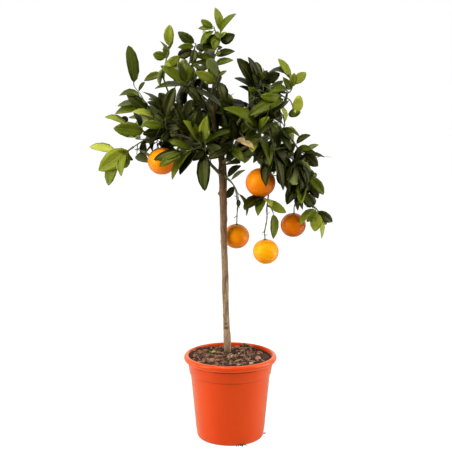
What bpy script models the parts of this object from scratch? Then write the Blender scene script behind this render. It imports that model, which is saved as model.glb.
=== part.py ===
"""A small orange tree, grown as a standard on one bare stem, in a plastic nursery pot.

The pot, the compost, the stem, the boughs, the fruit, the stalks that the fruit hangs from and the
leafy shoots are separate closed solids, one object each. Metres, +Z up. The origin is the centre of
the pot's underside, and -Y is the front. The lists of places below are in millimetres.
"""

import math
import random

import bmesh
import bpy
from mathutils import Matrix, Quaternion, Vector, noise
from mathutils.bvhtree import BVHTree

MM = 0.001
GAP = 0.3 * MM  # clearance kept wherever two pieces meet

POT_HEIGHT = 192 * MM
RIM_RADIUS = 105 * MM
FOOT_RADIUS = 70 * MM
SHOULDER_RADIUS = 90 * MM  # where the straight body meets the collar
SHOULDER_HEIGHT = 149 * MM
WALL = 2 * MM
FLOOR = 3 * MM
POT_SEGMENTS = 36
DRAIN_HOLES = 6
DRAIN_HOLE_RADIUS = 5 * MM
DRAIN_CIRCLE_RADIUS = 48 * MM

SOIL_TOP = 188 * MM
SOIL_LUMPS = 3 * MM
SOIL_MOUND = 8 * MM  # fall from the middle to the edge
SOIL_RADIUS = 90 * MM
SOIL_SEGMENTS = 30

STEM_FOOT = Vector((-6, 27, 120)) * MM  # the buried end of the stem
STEM_FOOT_RADIUS = 8.5 * MM
SOCKET_CUT = 100 * MM  # height of the cutter, which reaches out of the top of the compost
STEM_SIDES = 12
BOUGH_SIDES = 8
TWIG_SIDES = 4
TWIG_RADII = (2.0 * MM, 1.3 * MM)
SEAT_LENGTH = 3 * MM  # how far a branch leaves its carrier square to the bark

LEAF_THICKNESS = 1.2 * MM
PETIOLE_WIDTH = 1.5 * MM
PETIOLE_THICKNESS = 1.1 * MM
LEAF_STATIONS = ((0.3, 0.6), (0.66, 0.56))  # place along the leaf, half width as a share of the listed width
LEAF_ARCH = 0.07  # rise of the midrib at mid length, as a share of the length
LEAF_FOLD = 0.3  # rise of the edges above the midrib, as a share of the half width
LEAF_ROLL = 0.5  # most turn about its own midrib, either way
LEAN_OUT = 0.8  # how far a leaf's face turns outwards from facing straight up
# Moves tried, in millimetres, to free a leaf's tip from its neighbours
NUDGES = (
    (0, 0, 0), (0, -8, 0), (0, 8, 0), (0, 0, 7), (0, 0, -7), (7, 0, 0), (-7, 0, 0), (0, -16, 0), (0, 16, 0),
    (0, -12, 8), (0, 12, 8), (0, -12, -8), (0, 12, -8), (0, -24, 0), (0, 24, 0), (0, 0, 14), (0, 0, -14),
)
SPIRAL_TURN = math.radians(137.5)  # from one leaf to the next round a twig
FIRST_LEAF = 0.3  # places along the twig, as shares of its length
LAST_LEAF = 0.95
SPREAD = math.radians(66)  # between the lowest spiral leaf and its twig
SPREAD_AT_END = math.radians(38)
CROWN_SWEEP = 0.0009  # millimetres back for each square millimetre that a place of the crown stands out

ORANGE_FLATNESS = 0.97  # height over breadth
CALYX_RADIUS = 4.2 * MM
CALYX_LENGTH = 2.2 * MM
STALK_RADIUS = 1.3 * MM

# (x, y, z, radius) up the stem, which carries on as the leader of the crown
STEM = (
    (-6, 27, 190, 8.3), (-9, 27, 262, 7.6), (-10, 26, 305, 7.3), (-13, 22, 400, 7.4),
    (-15, 19, 470, 7.6), (-16, 15, 545, 8.2), (-17, 12, 605, 8.9), (-19, 9, 632, 8.0),
    (-27, 5, 662, 6.4), (-34, 1, 700, 5.2), (-37, -1, 740, 4.3), (-35, -2, 780, 3.6),
    (-31, -3, 820, 3.0),
)

# name: (carrier, radius at the seat, radius at the end, places along it; the first marks the seat)
BOUGHS = {
    "bough_left": ("stem", 4.6, 3.2, ((-20, 2, 597), (-46, -8, 628), (-58, -14, 655), (-66, -18, 680))),
    "bough_left_out": (
        "bough_left", 2.2, 1.4,
        ((-66, -18, 672), (-110, -22, 690), (-150, -26, 696), (-186, -38, 680), (-212, -46, 664)),
    ),
    "bough_left_high": (
        "bough_left", 3.0, 1.8,
        ((-66, -16, 679), (-88, -20, 712), (-112, -26, 742), (-132, -30, 778), (-145, -31, 815)),
    ),
    "bough_back_left": (
        "stem", 3.8, 1.8,
        ((-22, 14, 640), (-55, 56, 674), (-95, 94, 698), (-112, 112, 728), (-112, 122, 768)),
    ),
    "bough_top_left": (
        "stem", 3.0, 1.6,
        ((-38, -2, 745), (-62, -12, 768), (-84, -18, 798), (-92, -20, 832), (-78, -20, 870)),
    ),
    "bough_back_top": ("stem", 2.8, 1.6, ((-36, 4, 722), (-44, 46, 750), (-40, 78, 788), (-34, 90, 826))),
    "bough_right_up": (
        "stem", 3.8, 1.8,
        ((-24, 3, 664), (2, -12, 696), (28, -20, 734), (46, -24, 762), (74, -28, 778), (108, -30, 786)),
    ),
    "bough_right": (
        "stem", 4.0, 2.0,
        ((-14, 4, 628), (12, -14, 650), (46, -28, 672), (84, -38, 690), (118, -42, 696), (136, -44, 676)),
    ),
    "bough_right_low": (
        "bough_right", 2.4, 1.6,
        ((112, -42, 694), (128, -30, 664), (146, -34, 622), (162, -38, 576), (180, -38, 532)),
    ),
    "bough_back_right": (
        "stem", 3.6, 1.8,
        ((-26, 10, 672), (4, 52, 698), (44, 86, 714), (84, 108, 728), (106, 116, 754)),
    ),
    "bough_hanging": (
        "bough_right", 2.2, 1.5,
        ((62, -30, 678), (70, 2, 650), (82, 12, 604), (84, -2, 562), (80, -18, 528)),
    ),
}

# name: (centre, radius, carrier of its stalk, places along the stalk; the first marks the seat)
ORANGES = {
    "left": ((-149, -30, 634), 31.0, "bough_left_out", ((-150, -26, 693), (-150, -28, 680))),
    "front": ((65, -38, 588), 32.5, "bough_hanging", ((76, 6, 636), (68, -16, 642), (66, -30, 632))),
    "inner": ((14, 48, 455), 29.0, "stem", ((-10, 14, 598), (8, 28, 572), (16, 40, 532), (15, 46, 502))),
    "low": ((78, -30, 434), 28.5, "bough_hanging", ((80, -20, 531), (80, -24, 505), (75, -29, 478))),
    "right": ((139, -10, 490), 28.0, "bough_right_low", ((157, -32, 570), (148, -24, 556), (141, -13, 532))),
}

# name: (carrier, places along the twig, share of it that is bare, leaf tips as (x, y, z, width))
SHOOTS = {
    "shoot_leader_low": (
        "stem", ((-34, -5, 790), (-28, -18, 806), (-24, -26, 820)), 0.4,
        ((-75, -50, 826, 18), (-10, -50, 762, 16), (-47, -50, 853, 18), (-8, -34, 828, 6)),
    ),
    "shoot_leader_tip": (
        "stem", ((-31, -3, 819), (-36, -5, 850), (-27, -6, 873), (-24, -6, 895), (-22, -5, 915)), 0.15,
        (
            (-75, -30, 846, 10), (6, -22, 850, 11), (-49, 32, 868, 13), (-74, -20, 861, 12),
            (9, -20, 869, 12), (-21, -24, 867, 8), (-65, -26, 879, 9), (-17, -20, 878, 7),
            (-38, -28, 893, 8), (9, -24, 904, 18), (-8, -24, 909, 6), (12, -15, 948, 10),
            (-26, -6, 961, 13),
        ),
    ),
    "shoot_top_rosette": (
        "shoot_leader_tip", ((-25, -7, 890), (-31, -12, 906), (-36, -14, 922)), 0.5,
        (
            (-34, -32, 871, 15), (-50, -6, 881, 13), (-24, -26, 896, 8), (-64, -24, 878, 10),
            (-69, -16, 917, 8), (-63, -14, 935, 11),
        ),
    ),
    "shoot_arch_left": (
        "bough_top_left", ((-80, -20, 866), (-77, -22, 876), (-74, -24, 886)), 0.3,
        (
            (-113, -14, 859, 16), (-82, -42, 842, 13), (-112, -38, 877, 11), (-55, -30, 872, 11),
            (-112, -26, 910, 16),
        ),
    ),
    "shoot_left_peak": (
        "bough_left_high", ((-145, -31, 812), (-139, -30, 846), (-130, -30, 880)), 0.15,
        (
            (-184, -44, 807, 12), (-109, -16, 859, 16), (-150, -54, 796, 9), (-127, -52, 838, 11),
            (-140, -10, 883, 11), (-165, -38, 863, 15), (-151, -30, 890, 4), (-123, -22, 891, 5),
            (-130, -30, 924, 16),
        ),
    ),
    "shoot_left_front": (
        "bough_top_left", ((-86, -19, 803), (-94, -34, 796), (-98, -40, 806)), 0.4,
        (
            (-107, -50, 780, 9), (-61, -44, 760, 16), (-20, -60, 753, 8), (-161, -56, 790, 9),
            (-148, -54, 838, 16), (-87, -34, 840, 13), (-108, -56, 843, 13), (-101, -40, 847, 11),
        ),
    ),
    "shoot_left_solo": (
        "bough_left_high",
        (
            (-100, -23, 727), (-140, -16, 720), (-165, -32, 726), (-176, -38, 745), (-192, -37, 776),
            (-206, -35, 794), (-208, -34, 803),
        ),
        0.4,
        (
            (-210, -62, 741, 11), (-221, -48, 779, 20), (-248, -34, 736, 16), (-243, -30, 753, 11),
            (-239, -32, 774, 11), (-183, -44, 804, 6), (-213, -30, 880, 23),
        ),
    ),
    "shoot_left_upper": (
        "bough_left_out",
        ((-170, -33, 688), (-186, -44, 699), (-207, -48, 712), (-225, -46, 713), (-238, -45, 712)),
        0.2,
        ((-247, -78, 708, 25), (-210, -24, 738, 5), (-224, -30, 708, 6), (-269, -45, 730, 11)),
    ),
    "shoot_left_tip": (
        "bough_left_out", ((-209, -46, 666), (-223, -50, 657), (-236, -48, 655), (-251, -45, 651)), 0.1,
        (
            (-282, -64, 617, 35), (-232, -30, 619, 15), (-232, -84, 607, 12), (-242, -40, 615, 11),
            (-244, -76, 661, 8), (-264, -50, 584, 20), (-304, -40, 666, 16),
        ),
    ),
    "shoot_left_dark": (
        "bough_left_out", ((-126, -24, 693), (-138, -40, 704), (-140, -46, 722), (-137, -46, 738)), 0.1,
        (
            (-177, -56, 675, 11), (-150, -70, 681, 13), (-187, -64, 695, 16), (-106, -62, 708, 13),
            (-187, -60, 716, 15), (-165, -40, 734, 15), (-189, -50, 783, 10), (-118, -60, 792, 20),
        ),
    ),
    "shoot_over_orange": (
        "bough_left", ((-66, -24, 662), (-84, -42, 660), (-105, -54, 650)), 0.2,
        (
            (-108, -64, 608, 16), (-124, -68, 598, 13), (-113, -46, 675, 12), (-132, -50, 679, 13),
            (-163, -76, 641, 16), (-150, -88, 628, 15),
        ),
    ),
    "shoot_centre_left": (
        "bough_left", ((-61, -26, 668), (-76, -42, 690), (-94, -52, 714), (-100, -52, 735)), 0.12,
        (
            (-100, -80, 724, 15), (-63, -70, 702, 13), (-120, -72, 724, 14), (-71, -72, 742, 13),
            (-118, -54, 760, 16), (-83, -72, 768, 18),
        ),
    ),
    "shoot_centre_front": (
        "bough_left", ((-57, -14, 652), (-54, -40, 664), (-55, -54, 690)), 0.22,
        (
            (-55, -66, 574, 22), (-81, -50, 636, 13), (-20, -72, 666, 15), (7, -64, 700, 9),
            (-50, -82, 734, 18), (-59, -60, 740, 13),
        ),
    ),
    "shoot_centre_right": (
        "bough_right", ((6, -10, 648), (5, -36, 670), (8, -50, 684)), 0.3,
        (
            (-6, -60, 635, 15), (31, -66, 635, 16), (-48, -74, 642, 20), (1, -64, 729, 15),
            (39, -74, 670, 11),
        ),
    ),
    "shoot_stem_low": (
        "stem", ((-10, 2, 600), (2, -16, 586), (14, -24, 567), (18, -28, 546)), 0.15,
        ((23, -30, 623, 11), (32, -34, 614, 6), (-8, -30, 553, 11), (34, -34, 514, 6), (17, -40, 534, 7)),
    ),
    "shoot_right_peak": (
        "bough_right_up", ((50, -25, 765), (52, -32, 782), (58, -34, 796), (66, -34, 808)), 0.15,
        (
            (18, -52, 795, 6), (72, -50, 782, 9), (38, -60, 794, 11), (8, -46, 812, 8),
            (14, -42, 853, 19), (46, -60, 820, 9), (37, -40, 856, 11), (55, -8, 846, 18),
            (105, -34, 822, 18), (78, -50, 829, 11),
        ),
    ),
    "shoot_right_top": (
        "bough_right_up", ((106, -30, 786), (123, -36, 781), (132, -36, 792), (130, -30, 811)), 0.3,
        (
            (101, -44, 785, 6), (83, -52, 781, 10), (111, -52, 815, 12), (136, -44, 823, 12),
            (162, -24, 824, 15), (77, -16, 819, 9), (102, -26, 853, 12),
        ),
    ),
    "shoot_right_front": (
        "bough_right_up", ((98, -30, 784), (114, -46, 773), (127, -50, 766), (134, -48, 748)), 0.2,
        (
            (58, -36, 755, 9), (64, -62, 775, 17), (39, -70, 734, 20), (90, -78, 738, 10),
            (151, -60, 756, 19), (141, -40, 730, 11),
        ),
    ),
    "shoot_right_middle": (
        "bough_right", ((98, -40, 693), (115, -50, 709), (113, -50, 730), (105, -48, 744)), 0.05,
        (
            (128, -66, 659, 12), (135, -62, 701, 11), (104, -62, 756, 7), (75, -62, 721, 8),
            (32, -62, 716, 11),
        ),
    ),
    "shoot_right_out": (
        "bough_right", ((134, -44, 680), (146, -50, 662), (163, -50, 648), (178, -46, 640)), 0.08,
        (
            (125, -70, 646, 11), (172, -44, 691, 10), (172, -64, 663, 11), (183, -66, 654, 9),
            (188, -52, 625, 18), (190, -42, 670, 9), (203, -48, 643, 6),
        ),
    ),
    "shoot_centre_grey": (
        "bough_right", ((52, -30, 675), (60, -50, 690), (63, -58, 704)), 0.3,
        (
            (46, -88, 659, 15), (28, -74, 687, 11), (81, -98, 630, 13), (82, -88, 732, 11),
            (-15, -80, 749, 16),
        ),
    ),
    "shoot_over_front_orange": (
        "bough_right", ((86, -39, 690), (92, -58, 668), (96, -64, 636), (99, -62, 612)), 0.1,
        (
            (79, -88, 631, 13), (49, -76, 634, 16), (130, -50, 619, 13), (112, -76, 576, 11),
            (76, -92, 586, 16),
        ),
    ),
    "shoot_right_hanging": (
        "bough_right_low", ((137, -32, 642), (138, -52, 638), (138, -62, 630)), 0.5,
        ((167, -62, 574, 13), (119, -74, 595, 11), (171, -84, 616, 9), (136, -88, 589, 22)),
    ),
    "shoot_right_side": (
        "bough_right_low", ((155, -36, 596), (166, -48, 606), (173, -52, 608)), 0.4,
        ((123, -44, 541, 20), (153, -76, 546, 18), (190, -42, 554, 18), (200, -62, 565, 16)),
    ),
    "shoot_right_tip": (
        "bough_right_low", ((179, -38, 536), (188, -46, 530), (190, -46, 520)), 0.2,
        (
            (156, -62, 570, 20), (153, -68, 499, 11), (166, -50, 503, 15), (222, -42, 502, 15),
            (209, -34, 494, 11), (183, -58, 484, 20), (198, -48, 466, 8),
        ),
    ),
    "shoot_low_front": (
        "bough_hanging", ((84, -3, 560), (73, -30, 554), (81, -46, 551)), 0.4,
        ((30, -66, 532, 17), (59, -74, 520, 16), (87, -78, 540, 9), (120, -58, 525, 15)),
    ),
    "shoot_low_arch": (
        "bough_hanging", ((82, -16, 534), (89, -24, 530), (94, -28, 519)), 0.9,
        ((94, -30, 463, 14),),
    ),
}

# Shoots of the back and of the inside, whose leaves stand in a spiral.
# name: (carrier, places along the twig, number of leaves, leaf length)
SPIRAL_SHOOTS = {
    "shoot_back_left_tip": (
        "bough_back_left", ((-112, 120, 764), (-114, 128, 790), (-104, 130, 820)), 10, 54,
    ),
    "shoot_back_left_out": (
        "bough_back_left", ((-110, 102, 710), (-150, 114, 703), (-188, 108, 712)), 11, 56,
    ),
    "shoot_back_left_low": ("bough_back_left", ((-58, 58, 669), (-84, 84, 664), (-112, 92, 660)), 10, 54),
    "shoot_back_top": ("bough_back_top", ((-34, 90, 822), (-44, 98, 846), (-58, 96, 872)), 10, 52),
    "shoot_back_top_left": ("bough_back_top", ((-43, 48, 754), (-78, 58, 788), (-100, 62, 820)), 10, 54),
    "shoot_back_top_right": ("bough_back_top", ((-40, 76, 786), (-32, 92, 784), (-18, 106, 770)), 10, 54),
    "shoot_back_right_tip": ("bough_back_right", ((98, 121, 746), (92, 130, 770), (84, 126, 796)), 10, 54),
    "shoot_back_right_out": ("bough_back_right", ((70, 100, 724), (100, 108, 708), (128, 100, 690)), 11, 56),
    "shoot_back_right_low": ("bough_back_right", ((46, 87, 715), (70, 92, 678), (98, 82, 644)), 10, 52),
}

random.seed(7)


def new_collection(name):
    collection = bpy.data.collections.new(name)
    bpy.context.scene.collection.children.link(collection)
    return collection


def new_material(name, colour, roughness):
    material = bpy.data.materials.new(name)
    material.use_nodes = True
    shader = material.node_tree.nodes["Principled BSDF"]
    shader.inputs["Base Color"].default_value = (*colour, 1)
    shader.inputs["Roughness"].default_value = roughness
    shader.inputs["Metallic"].default_value = 0
    return material


def add_mesh(name, bm, material, collection):
    mesh = bpy.data.meshes.new(name)
    bm.to_mesh(mesh)
    mesh.materials.append(material)
    solid = bpy.data.objects.new(name, mesh)
    collection.objects.link(solid)
    return solid


def add_cutter(name, bm):
    cutter = add_mesh(name, bm, BARK, CUTTERS)
    cutter.hide_render = True
    cutter.display_type = "WIRE"
    return cutter


def add_boolean(solid, operation, other):
    boolean = solid.modifiers.new(operation.lower(), "BOOLEAN")
    boolean.operation = operation
    boolean.object = other
    return boolean


def add_turned(name, profile, segments, material):
    """A solid turned round the Z axis from (radius, height) points that start and end on the axis."""
    bm = bmesh.new()
    points = [bm.verts.new((radius, 0, height)) for radius, height in profile]
    for first, second in zip(points, points[1:]):
        bm.edges.new((first, second))
    solid = add_mesh(name, bm, material, TREE)
    bm.free()
    screw = solid.modifiers.new("turn", "SCREW")
    screw.steps = screw.render_steps = segments
    screw.use_merge_vertices = True
    screw.merge_threshold = 0.00001
    return solid


def evaluated_bmesh(solid):
    bpy.context.view_layer.update()
    mesh = bpy.data.meshes.new_from_object(solid.evaluated_get(bpy.context.evaluated_depsgraph_get()))
    bm = bmesh.new()
    bm.from_mesh(mesh)
    bpy.data.meshes.remove(mesh)
    bmesh.ops.remove_doubles(bm, verts=bm.verts, dist=0.000001)
    return bm


def tube_bmesh(points, radii, sides):
    """A round bar with flat ends through the points, with a radius at each."""
    data = bpy.data.curves.new("tube", "CURVE")
    data.dimensions = "3D"
    data.bevel_depth = 1
    data.bevel_resolution = (sides - 4) // 2
    data.use_fill_caps = True
    spline = data.splines.new("POLY")
    spline.points.add(len(points) - 1)
    for place, point, radius in zip(spline.points, points, radii):
        place.co = (*point, 1)
        place.radius = radius
    curve = bpy.data.objects.new("tube", data)
    TREE.objects.link(curve)
    bm = evaluated_bmesh(curve)
    bpy.data.objects.remove(curve)
    return bm


def in_metres(place):
    return Vector(place[:3]) * MM


def in_crown(place):
    """A listed place of the crown in metres, swept back as far as it stands out to the side."""
    x, y, z = place[:3]
    return Vector((x, y + CROWN_SWEEP * x * x, z)) * MM


def seated_path(carrier, places):
    """The way of a branch: it leaves the carrier's bark square, a gap above it, then runs on."""
    points = [in_crown(place) for place in places]
    seat, normal, _, _ = SURFACES[carrier].find_nearest(points[0])
    return [seat + normal * GAP, seat + normal * (GAP + SEAT_LENGTH), *points[1:]]


def shares_of(points):
    """How far along its length each point of a path lies, from 0 to 1."""
    lengths = [0.0]
    for first, second in zip(points, points[1:]):
        lengths.append(lengths[-1] + (second - first).length)
    return [length / lengths[-1] for length in lengths]


def place_along(points, share):
    shares = shares_of(points)
    for index in range(len(points) - 1):
        if share <= shares[index + 1]:
            part = (share - shares[index]) / (shares[index + 1] - shares[index])
            return points[index].lerp(points[index + 1], part)
    return points[-1].copy()


def tapered(points, first, last):
    return [first + (last - first) * share for share in shares_of(points)]


def leaf_rings(base, tip, width, roll):
    """Four-sided rings from the stalk end to near the tip: edge, midrib, edge, underside."""
    along = tip - base
    outward = Vector((tip.x - STEM_FOOT.x, tip.y - STEM_FOOT.y, 0)).normalized()
    facing = Vector((0, 0, 1)) + outward * LEAN_OUT
    axis = along.normalized()
    normal = (facing - axis * facing.dot(axis)).normalized()
    normal.rotate(Quaternion(axis, roll))
    side = axis.cross(normal)
    rings = []
    for share, half, thick in [(0, PETIOLE_WIDTH / 2, PETIOLE_THICKNESS)] + [
        (share, half * width, LEAF_THICKNESS) for share, half in LEAF_STATIONS
    ]:
        centre = base + along * share + normal * LEAF_ARCH * along.length * 4 * share * (1 - share)
        edge = normal * half * LEAF_FOLD if share else Vector()
        rings.append((
            centre + side * half + edge,
            centre + normal * thick / 2,
            centre - side * half + edge,
            centre - normal * thick / 2,
        ))
    return rings


def add_leaf(bm, base, tip, width, roll, first_ring=0):
    """Skins the rings into one closed leaf, or into its blade alone without the first ring."""
    rings = leaf_rings(base, tip, width, roll)[first_ring:]
    rings = [[bm.verts.new(corner) for corner in ring] for ring in rings]
    point = bm.verts.new(tip)
    bm.faces.new(rings[0])
    for inner, outer in zip(rings, rings[1:]):
        for corner in range(4):
            after = (corner + 1) % 4
            bm.faces.new((inner[corner], outer[corner], outer[after], inner[after]))
    for corner in range(4):
        bm.faces.new((rings[-1][corner], point, rings[-1][(corner + 1) % 4]))


class Obstacle:
    """A solid that later leaves keep clear of. Leaves of its own shoot only keep clear of its blade."""

    def __init__(self, owner, whole, blade=None):
        self.owner = owner
        self.centre = sum((vert.co for vert in whole.verts), Vector()) / len(whole.verts)
        self.reach = max((vert.co - self.centre).length for vert in whole.verts)
        self.whole = BVHTree.FromBMesh(whole)
        self.blade = BVHTree.FromBMesh(blade) if blade else None

    def meets(self, other):
        if (self.centre - other.centre).length > self.reach + other.reach:
            return False
        if self.owner != other.owner:
            return bool(self.whole.overlap(other.whole))
        return bool(self.blade and other.blade and self.blade.overlap(other.blade))


def leaf_obstacle(owner, shape):
    whole, blade = bmesh.new(), bmesh.new()
    add_leaf(whole, *shape)
    add_leaf(blade, *shape, first_ring=1)
    leaf = Obstacle(owner, whole, blade)
    whole.free()
    blade.free()
    return leaf


def is_clear(leaf):
    for middle, radius, _, _ in ORANGES.values():
        if (in_crown(middle) - leaf.centre).length < radius * MM:
            return False
    return not any(leaf.meets(other) for other in OBSTACLES)


def place_leaf(owner, leaves, base, tip, width):
    """Adds a leaf, its tip moved a little if it cuts a neighbour. One that never clears is left out."""
    roll = random.uniform(-LEAF_ROLL, LEAF_ROLL)
    for nudge in NUDGES:
        for turn in (0, LEAF_ROLL, -LEAF_ROLL):
            shape = (base, tip + Vector(nudge) * MM, width, roll + turn)
            leaf = leaf_obstacle(owner, shape)
            if is_clear(leaf):
                OBSTACLES.append(leaf)
                add_leaf(leaves, *shape)
                return


def add_shoot(name, twig, path, leaf_list):
    leaves = bmesh.new()
    for share, tip, width in leaf_list:
        place_leaf(name, leaves, place_along(path, share), tip, width)
    bmesh.ops.recalc_face_normals(leaves, faces=leaves.faces)
    for bm in (leaves, twig):
        bmesh.ops.triangulate(bm, faces=bm.faces)
    solid = add_mesh(name, twig, LEAF, TREE)
    twig.free()
    if leaves.verts:
        boolean = add_boolean(solid, "UNION", add_cutter(name + "_leaves", leaves))
        boolean.use_self = True
    leaves.free()


for old in list(bpy.data.objects):
    bpy.data.objects.remove(old)

TREE = new_collection("potted_orange_tree")
CUTTERS = new_collection("cutters")
CUTTERS.hide_render = True

POT_PLASTIC = new_material("pot_plastic", (0.68, 0.09, 0.02), 0.4)
SOIL = new_material("soil", (0.11, 0.07, 0.045), 0.95)
BARK = new_material("bark", (0.24, 0.17, 0.11), 0.85)
STALK = new_material("stalk", (0.16, 0.19, 0.06), 0.6)
PEEL = new_material("peel", (0.9, 0.33, 0.01), 0.45)
LEAF = new_material("leaf", (0.07, 0.14, 0.025), 0.4)

SURFACES = {}
OBSTACLES = []


# Pot ---------------------------------------------------------------------------------------------

def pot_inner_wall():
    """(radius, height) up the inside, from the floor's edge to the start of the rim's roll."""
    return (
        (FOOT_RADIUS + 1 * MM, FLOOR),
        (FOOT_RADIUS + 5 * MM, 12 * MM),
        (SHOULDER_RADIUS - WALL, SHOULDER_HEIGHT),
        (SHOULDER_RADIUS + 0.5 * MM, SHOULDER_HEIGHT + 3 * MM),
        (RIM_RADIUS - 12 * MM, POT_HEIGHT - 15 * MM),
    )


def pot_rim():
    """(radius, height) over the rolled rim, from the inner wall to its underside at the collar."""
    return (
        (RIM_RADIUS - 10.5 * MM, POT_HEIGHT - 6 * MM),
        (RIM_RADIUS - 9.5 * MM, POT_HEIGHT - 1.5 * MM),
        (RIM_RADIUS - 7.5 * MM, POT_HEIGHT),
        (RIM_RADIUS - 3.5 * MM, POT_HEIGHT - 0.6 * MM),
        (RIM_RADIUS - 1 * MM, POT_HEIGHT - 3 * MM),
        (RIM_RADIUS, POT_HEIGHT - 6.5 * MM),
        (RIM_RADIUS - 0.8 * MM, POT_HEIGHT - 10.5 * MM),
        (RIM_RADIUS - 3.5 * MM, POT_HEIGHT - 13.5 * MM),
        (RIM_RADIUS - 8 * MM, POT_HEIGHT - 14.5 * MM),
    )


def pot_outside():
    """(radius, height) down the outside, from under the rim to the edge of the flat base."""
    return (
        (SHOULDER_RADIUS + 5 * MM, POT_HEIGHT - 22 * MM),
        (SHOULDER_RADIUS + 2.2 * MM, SHOULDER_HEIGHT + 2 * MM),
        (SHOULDER_RADIUS, SHOULDER_HEIGHT),
        (FOOT_RADIUS + 8.5 * MM, 25 * MM),
        (FOOT_RADIUS + 6.5 * MM, 10 * MM),
        (FOOT_RADIUS + 5 * MM, 4 * MM),
        (FOOT_RADIUS + 2.5 * MM, 1 * MM),
        (FOOT_RADIUS, 0),
    )


pot = add_turned(
    "pot", ((0, FLOOR), *pot_inner_wall(), *pot_rim(), *pot_outside(), (0, 0)), POT_SEGMENTS, POT_PLASTIC
)
holes = bmesh.new()
for hole in range(DRAIN_HOLES):
    turn = Matrix.Rotation(2 * math.pi * hole / DRAIN_HOLES, 4, "Z")
    bmesh.ops.create_cone(
        holes, cap_ends=True, segments=12, radius1=DRAIN_HOLE_RADIUS, radius2=DRAIN_HOLE_RADIUS,
        depth=4 * FLOOR, matrix=turn @ Matrix.Translation((DRAIN_CIRCLE_RADIUS, 0, 0)),
    )
add_boolean(pot, "DIFFERENCE", add_cutter("drain_holes", holes))
holes.free()


# Compost -----------------------------------------------------------------------------------------

def soil_profile():
    """(radius, height) from the crown of the mound over its edge and down the pot's wall to the floor."""
    wall = [(radius - 1.5 * GAP, height) for radius, height in pot_inner_wall()[1:]]
    slope = [(SOIL_RADIUS * share, SOIL_TOP - SOIL_MOUND * share**3) for share in (0.15, 0.4, 0.6, 0.8, 1)]
    foot = [(FOOT_RADIUS, FLOOR + GAP), (0, FLOOR + GAP)]
    return (0, SOIL_TOP), *slope, *reversed(wall), *foot


turned_soil = add_turned("turned_soil", soil_profile(), SOIL_SEGMENTS, SOIL)
soil_bm = evaluated_bmesh(turned_soil)
bpy.data.objects.remove(turned_soil)
for vert in soil_bm.verts:
    if vert.co.z > SOIL_TOP - SOIL_MOUND - 1 * MM:
        vert.co.z += SOIL_LUMPS * noise.noise(vert.co * 45)
bmesh.ops.recalc_face_normals(soil_bm, faces=soil_bm.faces)
soil = add_mesh("soil", soil_bm, SOIL, TREE)
soil_bm.free()
socket = bmesh.new()
socket_radius = STEM_FOOT_RADIUS + 1.5 * GAP
bmesh.ops.create_cone(
    socket, cap_ends=True, segments=24, radius1=socket_radius, radius2=socket_radius, depth=SOCKET_CUT,
    matrix=Matrix.Translation(STEM_FOOT + Vector((0, 0, SOCKET_CUT / 2 - GAP))),
)
add_boolean(soil, "DIFFERENCE", add_cutter("stem_socket", socket))
socket.free()


# Stem and boughs ---------------------------------------------------------------------------------

stem_bm = tube_bmesh(
    [STEM_FOOT, *map(in_metres, STEM)], [STEM_FOOT_RADIUS, *(place[3] * MM for place in STEM)], STEM_SIDES
)
add_mesh("stem", stem_bm, BARK, TREE)
SURFACES["stem"] = BVHTree.FromBMesh(stem_bm)
OBSTACLES.append(Obstacle("stem", stem_bm))
stem_bm.free()

for name, (carrier, first, last, places) in BOUGHS.items():
    path = seated_path(carrier, places)
    bough = tube_bmesh(path, tapered(path, first * MM, last * MM), BOUGH_SIDES)
    add_mesh(name, bough, BARK, TREE)
    SURFACES[name] = BVHTree.FromBMesh(bough)
    OBSTACLES.append(Obstacle(name, bough))
    bough.free()


# Fruit and the stalks that it hangs from ---------------------------------------------------------

for name, (centre, radius, carrier, places) in ORANGES.items():
    fruit = bmesh.new()
    bmesh.ops.create_uvsphere(
        fruit, u_segments=16, v_segments=10, radius=radius * MM,
        matrix=Matrix.Translation(in_crown(centre)) @ Matrix.Diagonal((1, 1, ORANGE_FLATNESS, 1)),
    )
    add_mesh("orange_" + name, fruit, PEEL, TREE)
    OBSTACLES.append(Obstacle("orange_" + name, fruit))
    path = seated_path(carrier, places)
    pole, normal, _, _ = BVHTree.FromBMesh(fruit).find_nearest(path[-1])
    path += [pole + normal * (GAP + CALYX_LENGTH), pole + normal * GAP]
    radii = [STALK_RADIUS] * (len(path) - 1) + [CALYX_RADIUS]
    stalk = tube_bmesh(path, radii, BOUGH_SIDES)
    add_mesh("stalk_" + name, stalk, STALK, TREE)
    OBSTACLES.append(Obstacle("stalk_" + name, stalk))
    stalk.free()
    fruit.free()


# Leafy shoots ------------------------------------------------------------------------------------

paths = {}
twigs = {}
for name, (carrier, places, *_) in {**SHOOTS, **SPIRAL_SHOOTS}.items():
    paths[name] = seated_path(carrier, places)
    twigs[name] = tube_bmesh(paths[name], tapered(paths[name], *TWIG_RADII), TWIG_SIDES)
    SURFACES[name] = BVHTree.FromBMesh(twigs[name])
    OBSTACLES.append(Obstacle(name, twigs[name]))

for name, (_, _, bare, tips) in SHOOTS.items():
    leaf_list = []
    for index, (x, y, z, width) in enumerate(tips):
        share = bare + (LAST_LEAF - bare) * index / max(1, len(tips) - 1)
        leaf_list.append((share, in_crown((x, y, z)), width * MM))
    add_shoot(name, twigs[name], paths[name], leaf_list)

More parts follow.
